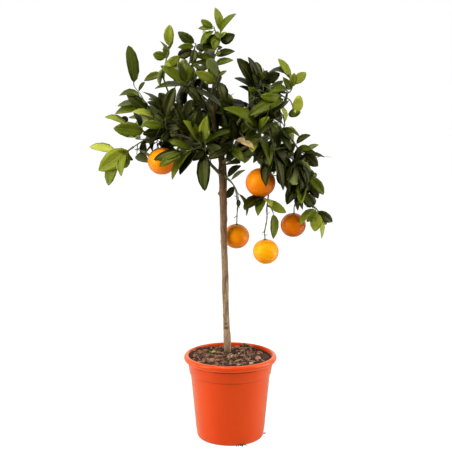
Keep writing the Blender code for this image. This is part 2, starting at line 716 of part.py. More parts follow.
for name, (_, _, count, length) in SPIRAL_SHOOTS.items():
    leaf_list = []
    start = random.uniform(0, 2 * math.pi)
    for index in range(count):
        share = FIRST_LEAF + (LAST_LEAF - FIRST_LEAF) * index / (count - 1)
        base = place_along(paths[name], share)
        axis = (place_along(paths[name], share + 0.05) - place_along(paths[name], share - 0.05)).normalized()
        spread = SPREAD + (SPREAD_AT_END - SPREAD) * index / (count - 1)
        direction = axis.copy()
        direction.rotate(Quaternion(axis.orthogonal(), spread))
        direction.rotate(Quaternion(axis, start + SPIRAL_TURN * index))
        size = length * MM * random.uniform(0.8, 1.1)
        leaf_list.append((share, base + direction * size, size * random.uniform(0.32, 0.4)))
    add_shoot(name, twigs[name], paths[name], leaf_list)
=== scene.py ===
"""The finish of a small orange tree, grown as a standard on one bare stem in a plastic nursery pot.

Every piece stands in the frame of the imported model: metres, +Z up, the origin under the middle of the
pot and -Y at the front. The lists of places are in millimetres, as the maker sets them out.
"""

import math

import bpy
import numpy as np
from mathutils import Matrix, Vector


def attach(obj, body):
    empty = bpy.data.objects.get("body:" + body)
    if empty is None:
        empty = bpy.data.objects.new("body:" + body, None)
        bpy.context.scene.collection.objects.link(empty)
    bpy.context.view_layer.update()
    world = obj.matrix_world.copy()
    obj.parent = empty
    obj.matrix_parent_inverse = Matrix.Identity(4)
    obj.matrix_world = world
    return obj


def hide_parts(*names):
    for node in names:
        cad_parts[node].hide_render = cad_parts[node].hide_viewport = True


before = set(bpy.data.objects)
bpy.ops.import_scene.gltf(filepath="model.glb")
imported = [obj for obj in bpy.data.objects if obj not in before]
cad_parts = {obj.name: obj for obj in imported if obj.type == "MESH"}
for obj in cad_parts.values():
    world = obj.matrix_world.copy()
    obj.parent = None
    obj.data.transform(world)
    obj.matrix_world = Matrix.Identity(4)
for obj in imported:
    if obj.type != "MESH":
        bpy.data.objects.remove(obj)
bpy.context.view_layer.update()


# Pot ---------------------------------------------------------------------------------------------
# A nursery pot injection moulded in orange polypropylene: a tapered body, a collar and a rolled rim,
# with six drain holes in its floor. It stands on its flat base and carries everything else.

POT_INSIDE = ((71, 3), (75, 12), (88, 149), (90.5, 152), (93, 177))
POT_RIM = (
    (94.5, 186), (95.2, 190.2), (97.5, 192), (101.2, 191.5), (104, 189.2), (105, 185.6), (104.3, 181.8),
    (101.8, 178.6), (98.2, 177.4),
)
POT_OUTSIDE = (
    (96.2, 176.8), (95.2, 176.2), (95.5, 175.2), (96.2, 174.2), (92.7, 151.4), (92.2, 150.2), (90.3, 149.6),
    (90, 148.4),
)
POT_FOOT = ((78.5, 25), (76.5, 10), (75.4, 4.6), (72.8, 1.2), (70, 0))
POT_SEGMENTS = 160
GROOVES = ((0.1763, 0.0009), (0.1494, 0.0008))  # where shade is painted on the pot: height and half height, in metres
HOLES, HOLE_CIRCLE, HOLE_RADIUS = 6, 48, 5.0  # how many, their circle's radius and their own
DRILL_FROM, DRILL_TO, DRILL_SIDES = -6, 9, 24  # the heights that they are drilled between


def smooth_line(points, steps):
    """A curve through all the points, with that many steps between two. Each step is the cubic that
    leaves a point in the direction from the one before it to the one after it."""
    places = np.asarray(points, float)
    places = np.vstack([2 * places[0] - places[1], places, 2 * places[-1] - places[-2]])
    part = np.linspace(0, 1, steps, endpoint=False)[None, :, None]
    before, here, after, later = (places[i : len(places) - 3 + i, None, :] for i in range(4))
    curve = here + part * (after - before) / 2
    curve = curve + part**2 * (before - 2.5 * here + 2 * after - later / 2)
    curve = curve + part**3 * (1.5 * here - before / 2 - 1.5 * after + later / 2)
    return np.vstack([curve.reshape(-1, places.shape[1]), places[-2]])


def skinned(rings, ends=None):
    """Closed shapes, each a stack of rings: four-sided faces join each ring to the next, and triangles
    join each end ring to its end point, which is its middle if none is given. A shape whose volume,
    the sum of its faces' cones to the origin, comes out negative has its faces turned round."""
    rings = np.asarray(rings, float)
    count, levels, around, _ = rings.shape
    if ends is None:
        ends = np.stack([rings[:, 0].mean(axis=1), rings[:, -1].mean(axis=1)], axis=1)
    points = np.concatenate([rings.reshape(count, -1, 3), ends], axis=1)
    turn, after = np.arange(around), (np.arange(around) + 1) % around
    level = np.arange(levels - 1)[:, None] * around
    quads = np.stack([level + turn, level + after, level + after + around, level + turn + around], -1)
    quads = quads.reshape(-1, 4)
    last = (levels - 1) * around
    first_cap = np.stack([np.full(around, levels * around), after, turn], -1)
    last_cap = np.stack([np.full(around, levels * around + 1), last + turn, last + after], -1)
    caps = np.concatenate([first_cap, last_cap])
    thirds = np.concatenate([quads[:, :3], quads[:, [0, 2, 3]], caps])
    corners = points[:, thirds] - points.mean(axis=1)[:, None, None]
    volume = np.einsum("ktc,ktc->k", corners[:, :, 0], np.cross(corners[:, :, 1], corners[:, :, 2]))
    shift = np.arange(count)[:, None, None] * points.shape[1]
    turned = (volume < 0)[:, None, None]
    quads = np.where(turned, quads[None, :, ::-1], quads[None]) + shift
    caps = np.where(turned, caps[None, :, ::-1], caps[None]) + shift
    return points.reshape(-1, 3), quads.reshape(-1, 4), caps.reshape(-1, 3)


def closed(rings):
    """One closed shape from one stack of rings, in its piece's first material."""
    return (*skinned(rings[None]), 0)


def new_piece(name, shapes, materials, nodes=(), values=(), face_values=(), sharp=None):
    """One object from (points, quads, triangles, material number) shapes, laid end to end, with a value
    at each point or face for each name. It rides on the tree and stands for the CAD nodes named."""
    starts = np.cumsum([0] + [len(shape[0]) for shape in shapes[:-1]])
    points = np.concatenate([shape[0] for shape in shapes])
    faces = [each + start for shape, start in zip(shapes, starts) for each in shape[1:3]]
    sizes = np.concatenate([np.full(len(each), each.shape[1]) for each in faces])
    corners = np.concatenate([each.ravel() for each in faces])
    finish = np.concatenate([np.full(len(shape[1]) + len(shape[2]), shape[3]) for shape in shapes])
    mesh = bpy.data.meshes.new(name)
    mesh.vertices.add(len(points))
    mesh.vertices.foreach_set("co", points.astype(np.float32).ravel())
    mesh.loops.add(len(corners))
    mesh.loops.foreach_set("vertex_index", corners.astype(np.int32))
    mesh.polygons.add(len(sizes))
    mesh.polygons.foreach_set("loop_start", (np.cumsum(sizes) - sizes).astype(np.int32))
    mesh.polygons.foreach_set("material_index", finish.astype(np.int32))
    mesh.update(calc_edges=True)
    mesh.shade_smooth()
    if sharp:
        mesh.set_sharp_from_angle(angle=math.radians(sharp))
    for domain, named in (("POINT", dict(values)), ("FACE", dict(face_values))):
        for key, numbers in named.items():
            layer = mesh.attributes.new(key, "FLOAT", domain)
            layer.data.foreach_set("value", np.asarray(numbers, np.float32).ravel())
    for material in materials:
        mesh.materials.append(material)
    piece = bpy.data.objects.new(name, mesh)
    bpy.context.scene.collection.objects.link(piece)
    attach(piece, "root")
    if nodes:
        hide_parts(*nodes)
    return piece


def turns(count):
    """That many angles, evenly round a circle."""
    return 2 * np.pi * np.arange(count) / count


def turned(profile, segments):
    """The rings of a profile of (radius, height) points turned once round the upright axis."""
    profile = np.asarray(profile, float)
    angle = turns(segments)
    round_z = np.stack([np.cos(angle), np.sin(angle), np.zeros(segments)], -1)
    return profile[:, None, :1] * round_z + profile[:, None, 1:] * np.array([0, 0, 1])


def add_node(tree, kind, inputs=(), **settings):
    """A shader node with its settings, each input given a value or linked from a socket."""
    node = tree.nodes.new("ShaderNode" + kind)
    for key, value in settings.items():
        setattr(node, key, value)
    for key, value in dict(inputs).items():
        if isinstance(value, bpy.types.NodeSocket):
            tree.links.new(value, node.inputs[key])
        else:
            node.inputs[key].default_value = value
    return node


def object_place(tree):
    """Where a point of the surface lies, in its object's own coordinates."""
    return add_node(tree, "TexCoord").outputs["Object"]


def compute(tree, operation, *inputs, clamp=False):
    """One sum on values, kept between 0 and 1 if clamp is set."""
    settings = {"operation": operation, "use_clamp": clamp}
    return add_node(tree, "Math", dict(enumerate(inputs)), **settings).outputs[0]


def mixed_value(tree, share, first, second):
    """A value that goes from the first to the second with the share."""
    return add_node(tree, "Mix", {"Factor": share, "A": first, "B": second}).outputs[0]


def value_between(tree, value, low, high, start=0.0, end=1.0):
    """A value that goes from low to high as the one given goes from start to end."""
    limits = {"Value": value, "From Min": start, "From Max": end, "To Min": low, "To Max": high}
    return add_node(tree, "MapRange", limits).outputs["Result"]


def blend(tree, share, first, second, kind="MIX"):
    """The first colour with the second laid over it by the share."""
    colours = {"Factor": share, 6: first, 7: second}
    return add_node(tree, "Mix", colours, data_type="RGBA", blend_type=kind).outputs[2]


def noise(tree, place, scale, detail, roughness=0.5):
    """Cloudy random values over a place."""
    settings = {"Vector": place, "Scale": scale, "Detail": detail, "Roughness": roughness}
    return add_node(tree, "TexNoise", settings).outputs["Fac"]


def colour(red, green, blue):
    """A colour given in display values from 0 to 255, as the light values that shaders use."""
    shares = np.array([red, green, blue]) / 255
    light = np.where(shares <= 0.04045, shares / 12.92, ((shares + 0.055) / 1.055) ** 2.4)
    return (*light.tolist(), 1.0)


def new_mottle_group():
    """Two sizes of cloudy patches on the object's own coordinates, which may be stretched. Colour goes
    from Dark to Light with the patches, Mask is their value, and Height adds a fine grain."""
    group = bpy.data.node_groups.new("mottle", "ShaderNodeTree")
    for key, kind, value in (
        ("Dark", "Color", (0, 0, 0, 1)), ("Light", "Color", (1, 1, 1, 1)), ("Scale", "Float", 40.0),
        ("Fine Scale", "Float", 600.0), ("Stretch", "Vector", (1, 1, 1)), ("Contrast", "Float", 1.0),
    ):
        socket = group.interface.new_socket(key, in_out="INPUT", socket_type="NodeSocket" + kind)
        socket.default_value = value
    for key, kind in (("Colour", "Color"), ("Mask", "Float"), ("Height", "Float")):
        group.interface.new_socket(key, in_out="OUTPUT", socket_type="NodeSocket" + kind)
    given, out = group.nodes.new("NodeGroupInput").outputs, group.nodes.new("NodeGroupOutput").inputs
    stretched = {0: object_place(group), 1: given["Stretch"]}
    place = add_node(group, "VectorMath", stretched, operation="MULTIPLY").outputs[0]
    broad = noise(group, place, given["Scale"], 5.0, 0.6)
    height = mixed_value(group, 0.3, broad, noise(group, place, given["Fine Scale"], 3.0, 0.55))
    spread = compute(group, "MULTIPLY", compute(group, "SUBTRACT", height, 0.5), given["Contrast"])
    mask = compute(group, "MULTIPLY_ADD", spread, 2.2, 0.5, clamp=True)
    group.links.new(blend(group, mask, given["Dark"], given["Light"]), out["Colour"])
    group.links.new(mask, out["Mask"])
    group.links.new(height, out["Height"])
    return group


MOTTLE = new_mottle_group()


def new_material(name, **uniform):
    """A material with a Principled shader, whose plain values are set on its own sockets."""
    material = bpy.data.materials.new(name)
    material.use_nodes = True
    shader = material.node_tree.nodes["Principled BSDF"]
    for key, value in uniform.items():
        shader.inputs[key.replace("_", " ")].default_value = value
    return material, material.node_tree, shader


def place_mottle(tree, **inputs):
    """The outputs of the mottle group in a material, with the values that this finish gives it."""
    inputs = {key.replace("_", " "): value for key, value in inputs.items()}
    return add_node(tree, "Group", inputs, node_tree=MOTTLE).outputs


def dress(tree, shader, shade, roughness, height, strength, distance):
    """Gives a shader its colour, its roughness, and relief from a height that changes over the surface,
    by a strength and a distance in metres."""
    relief = add_node(tree, "Bump", {"Strength": strength, "Distance": distance, "Height": height})
    tree.links.new(shade, shader.inputs["Base Color"])
    tree.links.new(roughness, shader.inputs["Roughness"])
    tree.links.new(relief.outputs["Normal"], shader.inputs["Normal"])


def pot_plastic():
    """Orange plastic: faint cloudiness of the moulding, fine level scuffs, dust at the foot, and painted
    shade along the two grooves."""
    material, tree, shader = new_material(
        "pot_plastic", Specular_IOR_Level=0.42, Specular_Tint=(1.0, 0.6, 0.24, 1.0), Sheen_Weight=0.6,
        Sheen_Roughness=0.5, Sheen_Tint=(1.0, 0.52, 0.17, 1.0),
    )
    clouds = place_mottle(
        tree, Dark=colour(205, 45, 1), Light=colour(213, 58, 3), Scale=14.0, Fine_Scale=420.0,
        Stretch=(1, 1, 0.45), Contrast=1.0,
    )
    place = object_place(tree)
    drawn_out = add_node(tree, "Mapping", {"Vector": place, "Scale": (9, 9, 150)}).outputs[0]
    scuffs = value_between(tree, noise(tree, drawn_out, 6.0, 8.0, 0.75), 0, 1, start=0.62, end=0.8)
    shade = blend(tree, scuffs, clouds["Colour"], colour(232, 96, 44))
    height = add_node(tree, "SeparateXYZ", {0: place}).outputs["Z"]
    low = value_between(tree, height, 0, 0.5, start=0.012, end=0)
    shade = blend(tree, compute(tree, "MULTIPLY", low, clouds["Mask"]), shade, colour(150, 84, 52))
    # Painted shade: a dark red line along each groove, under the rim's bead and under the collar.
    for level, half in GROOVES:
        groove_shade = compute(tree, "MULTIPLY", compute(tree, "COMPARE", height, level, half), 0.8)
        shade = blend(tree, groove_shade, shade, colour(104, 22, 4))
    roughness = value_between(tree, clouds["Mask"], 0.09, 0.2)
    dress(tree, shader, shade, roughness, clouds["Height"], 0.2, 0.0003)
    return material


pot_profile = np.array([
    (0.01, 3), *POT_INSIDE, *smooth_line(POT_RIM, 5), *POT_OUTSIDE, *smooth_line(POT_FOOT, 4), (0.01, 0)
]) / 1000
pot = new_piece(
    "nursery_pot", [closed(turned(pot_profile, POT_SEGMENTS))], [pot_plastic()],
    nodes=["pot"], sharp=38,
)
hole_turn = turns(HOLES)
hole_places = HOLE_CIRCLE * np.stack([np.cos(hole_turn), np.sin(hole_turn), 0 * hole_turn], -1) / 1000
drill_profile = np.array([(HOLE_RADIUS, DRILL_FROM), (HOLE_RADIUS, DRILL_TO)]) / 1000
hole_rings = turned(drill_profile, DRILL_SIDES)
drill_points, drill_sides, drill_ends = skinned(hole_rings[None] + hole_places[:, None, None])
drill_mesh = bpy.data.meshes.new("drill")
drill_mesh.from_pydata(drill_points.tolist(), [], drill_sides.tolist() + drill_ends.tolist())
drill = bpy.data.objects.new("drill", drill_mesh)
bpy.context.scene.collection.objects.link(drill)
cut = pot.modifiers.new("drain_holes", "BOOLEAN")
cut.operation, cut.object, cut.solver = "DIFFERENCE", drill, "EXACT"
bpy.context.view_layer.update()
drilled = bpy.data.meshes.new_from_object(pot.evaluated_get(bpy.context.evaluated_depsgraph_get()))
pot.modifiers.clear()
pot.data = drilled
bpy.data.objects.remove(drill)


# Compost -----------------------------------------------------------------------------------------
# The pot is filled to just under its rim with a peat and bark compost, heaped a little in the middle.
# Chips of bark, splinters, crumbs and a few grains of perlite lie loose on it, and a seedling grows.

SOIL_TOP, SOIL_RADIUS = 191.0, 93.2
SOIL_FALL = 3.6  # from the middle to the edge
SLUMP = 6.0  # how much lower it lies at the back right
SOIL_WALL = ((93.8, 184.5), (92.5, 176.5), (90.0, 152.3), (87.5, 149), (74.5, 12.3), (70, 3.3))
SOIL_RINGS, SOIL_SEGMENTS = 78, 210  # of its top, outwards and round
STEM_SPOT = (-6, 27)
HOLLOW = ((12, 14), 9, 12.0)  # a hollow before the stem: its place, radius and depth
HEAP = ((36, 54), 22, 11.0)  # a heap behind and right of it: its place, radius and height
BARE_ROUND_STEM, BURIED = 13, 14.0  # bits nearer to the stem than this lie buried that deep
CHIPS, SPLINTERS, CRUMBS, PERLITE = 430, 90, 900, 11
CHIP_SIZES = ((4, 15), (2.6, 8), (1.8, 5))  # the least and greatest length, breadth and thickness
SPLINTER_SIZES = ((9, 24), (0.9, 2.2), (0.7, 1.3))


def lumps(points, size, seed):
    """Smooth random values from -1 to 1. Random numbers stand at the corners of a lattice of cubes of
    that size, and a point takes the mix of its cube's corners, eased by 3t^2 - 2t^3 on each axis."""
    table = np.random.default_rng(seed).uniform(-1, 1, (32, 32, 32))
    place = np.asarray(points) / size
    cell = np.floor(place).astype(int)
    part = place - cell
    part = part * part * (3 - 2 * part)
    total = np.zeros(part.shape[:-1])
    for corner in np.ndindex(2, 2, 2):
        share = np.prod(np.where(np.array(corner) == 1, part, 1 - part), axis=-1)
        x, y, z = np.moveaxis((cell + corner) % 32, -1, 0)
        total = total + share * table[x, y, z]
    return total


def bell(x, y, spot, radius, height):
    """A height that falls off round its spot as e to the minus square of the distance over the radius."""
    return height * np.exp(-((x - spot[0]) ** 2 + (y - spot[1]) ** 2) / radius**2)


def soil_height(x, y):
    """The compost's surface in millimetres: a mound that falls with the cube of the distance from the
    middle and by an eased step towards the back right, with lumps of three sizes, less the bell of the
    hollow and with the bell of the heap."""
    place = np.stack([x, y, np.zeros_like(x)], -1)
    mound = SOIL_TOP - SOIL_FALL * (np.hypot(x, y) / SOIL_RADIUS) ** 3
    back_right = np.clip((0.6 * x + 0.8 * y) / SOIL_RADIUS, 0, 1)
    mound = mound - SLUMP * back_right**2 * (3 - 2 * back_right)
    relief = 2.4 * lumps(place, 21, 3) + 1.7 * lumps(place, 9, 4) + 0.7 * lumps(place, 3.6, 5)
    return mound + relief - bell(x, y, *HOLLOW) + bell(x, y, *HEAP)


def bits_lie_at(x, y):
    """The height that loose bits lie at: on the compost, but buried by the stem and in the hollow."""
    (hollow_x, hollow_y), hollow_radius, _ = HOLLOW
    by_stem = np.hypot(x - STEM_SPOT[0], y - STEM_SPOT[1]) < BARE_ROUND_STEM
    in_hollow = np.hypot(x - hollow_x, y - hollow_y) < 0.9 * hollow_radius
    return soil_height(x, y) - BURIED * (by_stem | in_hollow)


def mottled(name, dark, light, scales, contrast, roughness, relief, stretch=(1, 1, 1), specular=0.5):
    """A material that goes from dark to light and from the first roughness to the second with the
    patches of the mottle group, and whose relief has a strength and a distance in metres."""
    material, tree, shader = new_material(name, Specular_IOR_Level=specular)
    patches = place_mottle(
        tree, Dark=colour(*dark), Light=colour(*light), Scale=scales[0], Fine_Scale=scales[1],
        Stretch=stretch, Contrast=contrast,
    )
    rough = value_between(tree, patches["Mask"], *roughness)
    dress(tree, shader, patches["Colour"], rough, patches["Height"], *relief)
    return material


def soil_dark():
    """Dark peat with paler fibres and crumbs."""
    return mottled(
        "soil_dark", (14, 9, 6), (74, 52, 38), scales=(190.0, 900.0), contrast=1.8,
        roughness=(0.98, 0.84), relief=(0.9, 0.002), specular=0.2,
    )


def attribute(tree, key):
    """The value that a piece carries under this name."""
    return add_node(tree, "Attribute", attribute_name=key).outputs["Fac"]


def colour_ramp(tree, value, stops):
    """The colour at a value, from stops of (value, display colour) that run from 0 to 1."""
    ramp = add_node(tree, "ValToRGB", {"Fac": value})
    elements = ramp.color_ramp.elements
    for stop, shade in stops[1:-1]:
        elements.new(stop).color = colour(*shade)
    elements[0].color, elements[-1].color = colour(*stops[0][1]), colour(*stops[-1][1])
    return ramp.outputs["Color"]


def chip_bark():
    """Dry bark and wood: each chip has its own tone, with fibres along it."""
    material, tree, shader = new_material("chip_bark", Specular_IOR_Level=0.25)
    tones = colour_ramp(tree, attribute(tree, "tone"), (
        (0.0, (46, 30, 21)), (0.3, (84, 57, 40)), (0.6, (130, 92, 70)), (0.85, (164, 124, 98)),
        (1.0, (202, 172, 142)),
    ))
    fibre = place_mottle(
        tree, Dark=(0.45, 0.42, 0.4, 1), Light=(1.25, 1.2, 1.15, 1), Scale=260.0, Fine_Scale=1500.0,
        Stretch=(1, 0.35, 1), Contrast=1.4,
    )
    shade = blend(tree, 1.0, tones, fibre["Colour"], "MULTIPLY")
    dress(tree, shader, shade, value_between(tree, fibre["Mask"], 0.95, 0.75), fibre["Height"], 0.8, 0.0012)
    return material


def perlite_white():
    """Puffed volcanic glass: off-white, pitted and dusted with peat."""
    return mottled(
        "perlite_white", (150, 138, 124), (228, 222, 212), scales=(520.0, 1800.0), contrast=1.5,
        roughness=(0.95, 0.8), relief=(0.6, 0.0006),
    )


def scattered(rng, count, reach):
    """Places spread evenly over a disc: the distance out is the root of an even random number."""
    out, turn = reach * np.sqrt(rng.uniform(0, 1, count)), rng.uniform(0, 2 * np.pi, count)
    return out * np.cos(turn), out * np.sin(turn)


def loose_bits(rng, x, y, z, sizes, tilt, levels=3, around=6, rough=0.25):
    """Bits lying about: each is a ball drawn out to its length, breadth and thickness, with every point
    pushed in or out at random, then tipped by up to tilt and turned to any heading. With them comes how
    many points each has."""
    count = len(x)
    up = (np.arange(levels) + 1) * np.pi / (levels + 1)
    turn = turns(around)
    out = np.sin(up)[:, None]
    ball = np.stack([-np.cos(up)[:, None] + 0 * turn, out * np.cos(turn), out * np.sin(turn)], -1)
    shape = ball[None] * rng.uniform(1 - rough, 1 + rough, (count, levels, around, 1))
    ends = np.array([(-1.0, 0, 0), (1.0, 0, 0)])[None] * rng.uniform(0.6, 1.1, (count, 2, 1))
    heading, tip = rng.uniform(0, 2 * np.pi, count), rng.uniform(-tilt, tilt, count)
    lean = rng.uniform(-tilt, tilt, count)
    ahead = np.stack([np.cos(heading) * np.cos(tip), np.sin(heading) * np.cos(tip), np.sin(tip)], -1)
    side = np.stack([-np.sin(heading) * np.cos(lean), np.cos(heading) * np.cos(lean), np.sin(lean)], -1)
    above = np.cross(ahead, side)
    axes = np.stack([ahead, side, above], 1) * (np.asarray(sizes) / 2)[:, :, None]
    centre = np.stack([x, y, z], -1)
    rings = np.einsum("klmc,kcd->klmd", shape, axes) + centre[:, None, None]
    ends = np.einsum("kec,kcd->ked", ends, axes) + centre[:, None]
    return skinned(rings / 1000, ends / 1000), levels * around + 2


def strewn(rng, count, reach, ranges, lift, tilt, rough=0.25):
    """Bits strewn over the compost within reach of its middle, each with a length, breadth and
    thickness by chance from the ranges, and lifted a little by chance."""
    x, y = scattered(rng, count, reach)
    sizes = np.stack([rng.uniform(*limits, count) for limits in ranges], -1)
    height = bits_lie_at(x, y) + rng.uniform(*lift, count)
    return loose_bits(rng, x, y, height, sizes, tilt, rough=rough)


soil_reach = np.linspace(0.3, SOIL_RADIUS, SOIL_RINGS)
soil_rings = turned(np.stack([soil_reach, 0 * soil_reach], -1), SOIL_SEGMENTS)
soil_rings[..., 2] = soil_height(soil_rings[..., 0], soil_rings[..., 1])
soil_rings = np.concatenate([soil_rings, turned(SOIL_WALL, SOIL_SEGMENTS)]) / 1000
new_piece("compost", [closed(soil_rings)], [soil_dark()], nodes=["soil"], sharp=75)

rng = np.random.default_rng(11)
chips, chip_points = strewn(rng, CHIPS, 87, CHIP_SIZES, lift=(-0.4, 1.6), tilt=0.6)
chip_tones = rng.beta(1.1, 1.4, CHIPS)
splinters, splinter_points = strewn(
    rng, SPLINTERS, 82, SPLINTER_SIZES, lift=(1, 3), tilt=0.3, rough=0.12
)
splinter_tones = rng.uniform(0.45, 1, SPLINTERS)
# The large chips that lie on top: (x, y, length, breadth, thickness, tone)
LARGE_CHIPS = (
    (-48, 0, 25, 11, 6, 0.6), (-42, -46, 17, 13, 7, 0.75), (-30, -55, 14, 11, 6, 0.7),
    (-24, -22, 16, 12, 5, 0.6), (0, -38, 15, 12, 6, 0.65), (16, -52, 26, 5, 4, 0.8),
    (62, -28, 16, 13, 7, 0.85), (47, -6, 22, 8, 5, 0.55), (-66, 18, 18, 9, 5, 0.5),
    (30, 40, 24, 7, 4, 0.65), (46, 46, 22, 6, 4, 0.5), (68, 26, 15, 10, 6, 0.7),
    (-12, -60, 13, 9, 5, 0.45), (38, -34, 12, 10, 5, 0.6), (-34, 44, 20, 8, 5, 0.55),
    (8, 52, 17, 9, 5, 0.6),
)
large = np.array(LARGE_CHIPS)
large_chips, large_points = loose_bits(
    rng, large[:, 0], large[:, 1], soil_height(large[:, 0], large[:, 1]) + 1.6, large[:, 2:5],
    tilt=0.25, levels=5, around=8, rough=0.16,
)
x, y = scattered(rng, CRUMBS, 89)
crumb_sizes = rng.uniform(1.0, 3.2, (CRUMBS, 1)) * rng.uniform(0.6, 1.1, (CRUMBS, 3))
crumbs, crumb_points = loose_bits(
    rng, x, y, bits_lie_at(x, y) + rng.uniform(0, 1.2, CRUMBS), crumb_sizes, tilt=1.0, levels=2,
    around=4,
)
# Crumbs that fell on the floor beside the foot of the pot: (x, y, size)
FALLEN_CRUMBS = (
    (18, -73, 4.0), (23, -72, 6.0), (28, -70, 5.0), (33, -68, 3.6), (37, -71, 2.6), (26, -75, 3.0),
    (14, -75, 2.4), (78, 6, 3.6), (81, 9, 2.6),
)
CRUMB_FORM = (1.3, 1, 0.8)  # a fallen crumb's length, breadth and thickness over its size
fallen = np.array(FALLEN_CRUMBS)
fallen_crumbs, fallen_points = loose_bits(
    rng, fallen[:, 0], fallen[:, 1], fallen[:, 2] / 2.2, fallen[:, [2, 2, 2]] * CRUMB_FORM, tilt=1.0
)
chip_values = np.concatenate([
    np.repeat(chip_tones, chip_points), np.repeat(splinter_tones, splinter_points),
    np.repeat(large[:, 5], large_points), np.repeat(rng.beta(1.6, 3.0, CRUMBS), crumb_points),
    np.zeros(len(fallen) * fallen_points),
])
loose = [(*shape, 0) for shape in (chips, splinters, large_chips, crumbs, fallen_crumbs)]
new_piece("bark_chips", loose, [chip_bark()], values={"tone": chip_values}, sharp=42)
x, y = scattered(rng, PERLITE, 84)
grain_sizes = rng.uniform(1.8, 4.2, (PERLITE, 1)) * rng.uniform(0.7, 1, (PERLITE, 3))
grains, _ = loose_bits(rng, x, y, soil_height(x, y) + 1.6, grain_sizes, tilt=1.0, levels=4, around=7)
new_piece("perlite_grains", [(*grains, 0)], [perlite_white()])


# Stem --------------------------------------------------------------------------------------------
# One bare woody stem, cleaned of its side shoots, runs from the compost to the crown and carries on
# as its leader. The bark is grey-brown and ribbed, darker and browner above, with old bud scars.

# (x, y, z, radius) up the stem
STEM = (
    (-6, 27, 120, 8.5), (-6, 27, 190, 8.3), (-9, 27, 262, 7.6), (-10, 26, 305, 7.3), (-13, 22, 400, 7.4),
    (-15, 19, 470, 7.6), (-16, 15, 545, 8.2), (-17, 12, 605, 8.9), (-19, 9, 632, 8.0), (-27, 5, 662, 6.4),
    (-34, 1, 700, 5.2), (-37, -1, 740, 4.3), (-35, -2, 780, 3.6), (-31, -3, 820, 3.0),
)
STEM_SIDES = 56
# Knots and old buds: (height, heading in degrees from the right, how far it stands out, half its height)
KNOTS = (
    (557, 178, 3.6, 3.6), (604, 200, 1.8, 9), (596, 330, 1.6, 8), (536, 20, 1.0, 7), (498, 340, 1.1, 6),
    (446, 190, 0.8, 8), (412, 250, 0.7, 4), (378, 262, 0.6, 4), (338, 10, 0.8, 8), (306, 268, 0.7, 5),
    (276, 185, 0.8, 7), (262, 275, 0.9, 3), (232, 5, 0.9, 8), (352, 175, 0.7, 7), (206, 250, 1.0, 9),
)


def lengths_along(path):
    """How far along a path each of its points lies."""
    return np.concatenate([[0], np.cumsum(np.linalg.norm(np.diff(path, axis=0), axis=1))])


def along(path, shares):
    """The places at the given shares of a path's length, between its points."""
    lengths = lengths_along(path)
    at = np.asarray(shares) * lengths[-1]
    return np.stack([np.interp(at, lengths, path[:, axis]) for axis in range(path.shape[1])], -1)


def unit(vectors):
    """Each vector drawn to a length of one."""
    return vectors / np.maximum(np.linalg.norm(vectors, axis=-1, keepdims=True), 1e-12)


def tube(path, radii, sides):
    """Rings round a path: at each place a circle of its radius, square to the way ahead, that starts
    square to the plane in which the path lies flattest, so that the rings don't twist."""
    ahead = unit(np.gradient(path, axis=0))
    flattest = np.linalg.svd(path - path.mean(axis=0))[2][-1]
    side = unit(np.cross(ahead, flattest))
    above = np.cross(side, ahead)
    turn = turns(sides)
    circle = np.cos(turn)[:, None] * side[:, None] + np.sin(turn)[:, None] * above[:, None]
    return path[:, None] + np.asarray(radii)[:, None, None] * circle


def stem_shape():
    """The stem's rings: the listed radii, swollen by slow waves, by upright ribs that wander round it,
    and by each knot as a bell in height and heading."""
    way = smooth_line(STEM, 26)
    path, radii = way[:, :3], way[:, 3]
    rings = tube(path, radii, STEM_SIDES)
    outward = unit(rings - path[:, None])
    swell = 0.8 * lumps(rings * (1, 1, 0.6), 22, 21) + 0.3 * lumps(rings * (1, 1, 0.3), 3.2, 22)
    swell += 0.16 * lumps(rings * (1, 1, 0.8), 2.0, 23)
    heading = np.degrees(np.arctan2(outward[..., 1], outward[..., 0]))
    for height, knot_heading, size, half in KNOTS:
        off = (heading - knot_heading + 180) % 360 - 180
        swell += size * np.exp(-((rings[..., 2] - height) / half) ** 2 - (off / 34) ** 2)
    fade = np.clip(radii / 8, 0, 1)[:, None]
    return (rings + outward * (swell * fade)[..., None]) / 1000, path / 1000


def stem_bark():
    """Grey-tan bark with fine upright cracks and small pale pores, browner and darker up the stem, a
    greener brown in the crown, and dark where shoots were cut off."""
    material, tree, shader = new_material("stem_bark", Specular_IOR_Level=0.3)
    place = object_place(tree)
    height = add_node(tree, "SeparateXYZ", {0: place}).outputs["Z"]
    level = compute(tree, "MULTIPLY_ADD", noise(tree, place, 18.0, 3.0), 0.16, height)
    rise = value_between(tree, level, 0, 1, start=0.28, end=0.9)
    tones = colour_ramp(tree, rise, (
        (0.0, (154, 130, 100)), (0.3, (154, 128, 97)), (0.52, (128, 96, 62)), (0.68, (92, 64, 38)),
        (1.0, (74, 66, 34)),
    ))
    cracks = place_mottle(
        tree, Dark=(0.34, 0.3, 0.26, 1), Light=(1.22, 1.2, 1.16, 1), Scale=130.0, Fine_Scale=900.0,
        Stretch=(1, 1, 0.2), Contrast=1.9,
    )
    shade = blend(tree, 1.0, tones, cracks["Colour"], "MULTIPLY")
    squat = add_node(tree, "Mapping", {"Vector": place, "Scale": (1, 1, 2.2)}).outputs[0]
    pores = add_node(tree, "TexVoronoi", {"Vector": squat, "Scale": 210.0}).outputs["Distance"]
    pore = value_between(tree, pores, 0, 0.55, start=0.2, end=0.1)
    shade = blend(tree, pore, shade, colour(186, 166, 134))
    shade = blend(tree, attribute(tree, "scar"), shade, colour(24, 16, 11))
    roughness = value_between(tree, cracks["Mask"], 0.92, 0.72)
    dress(tree, shader, shade, roughness, cracks["Height"], 0.7, 0.0012)
    return material


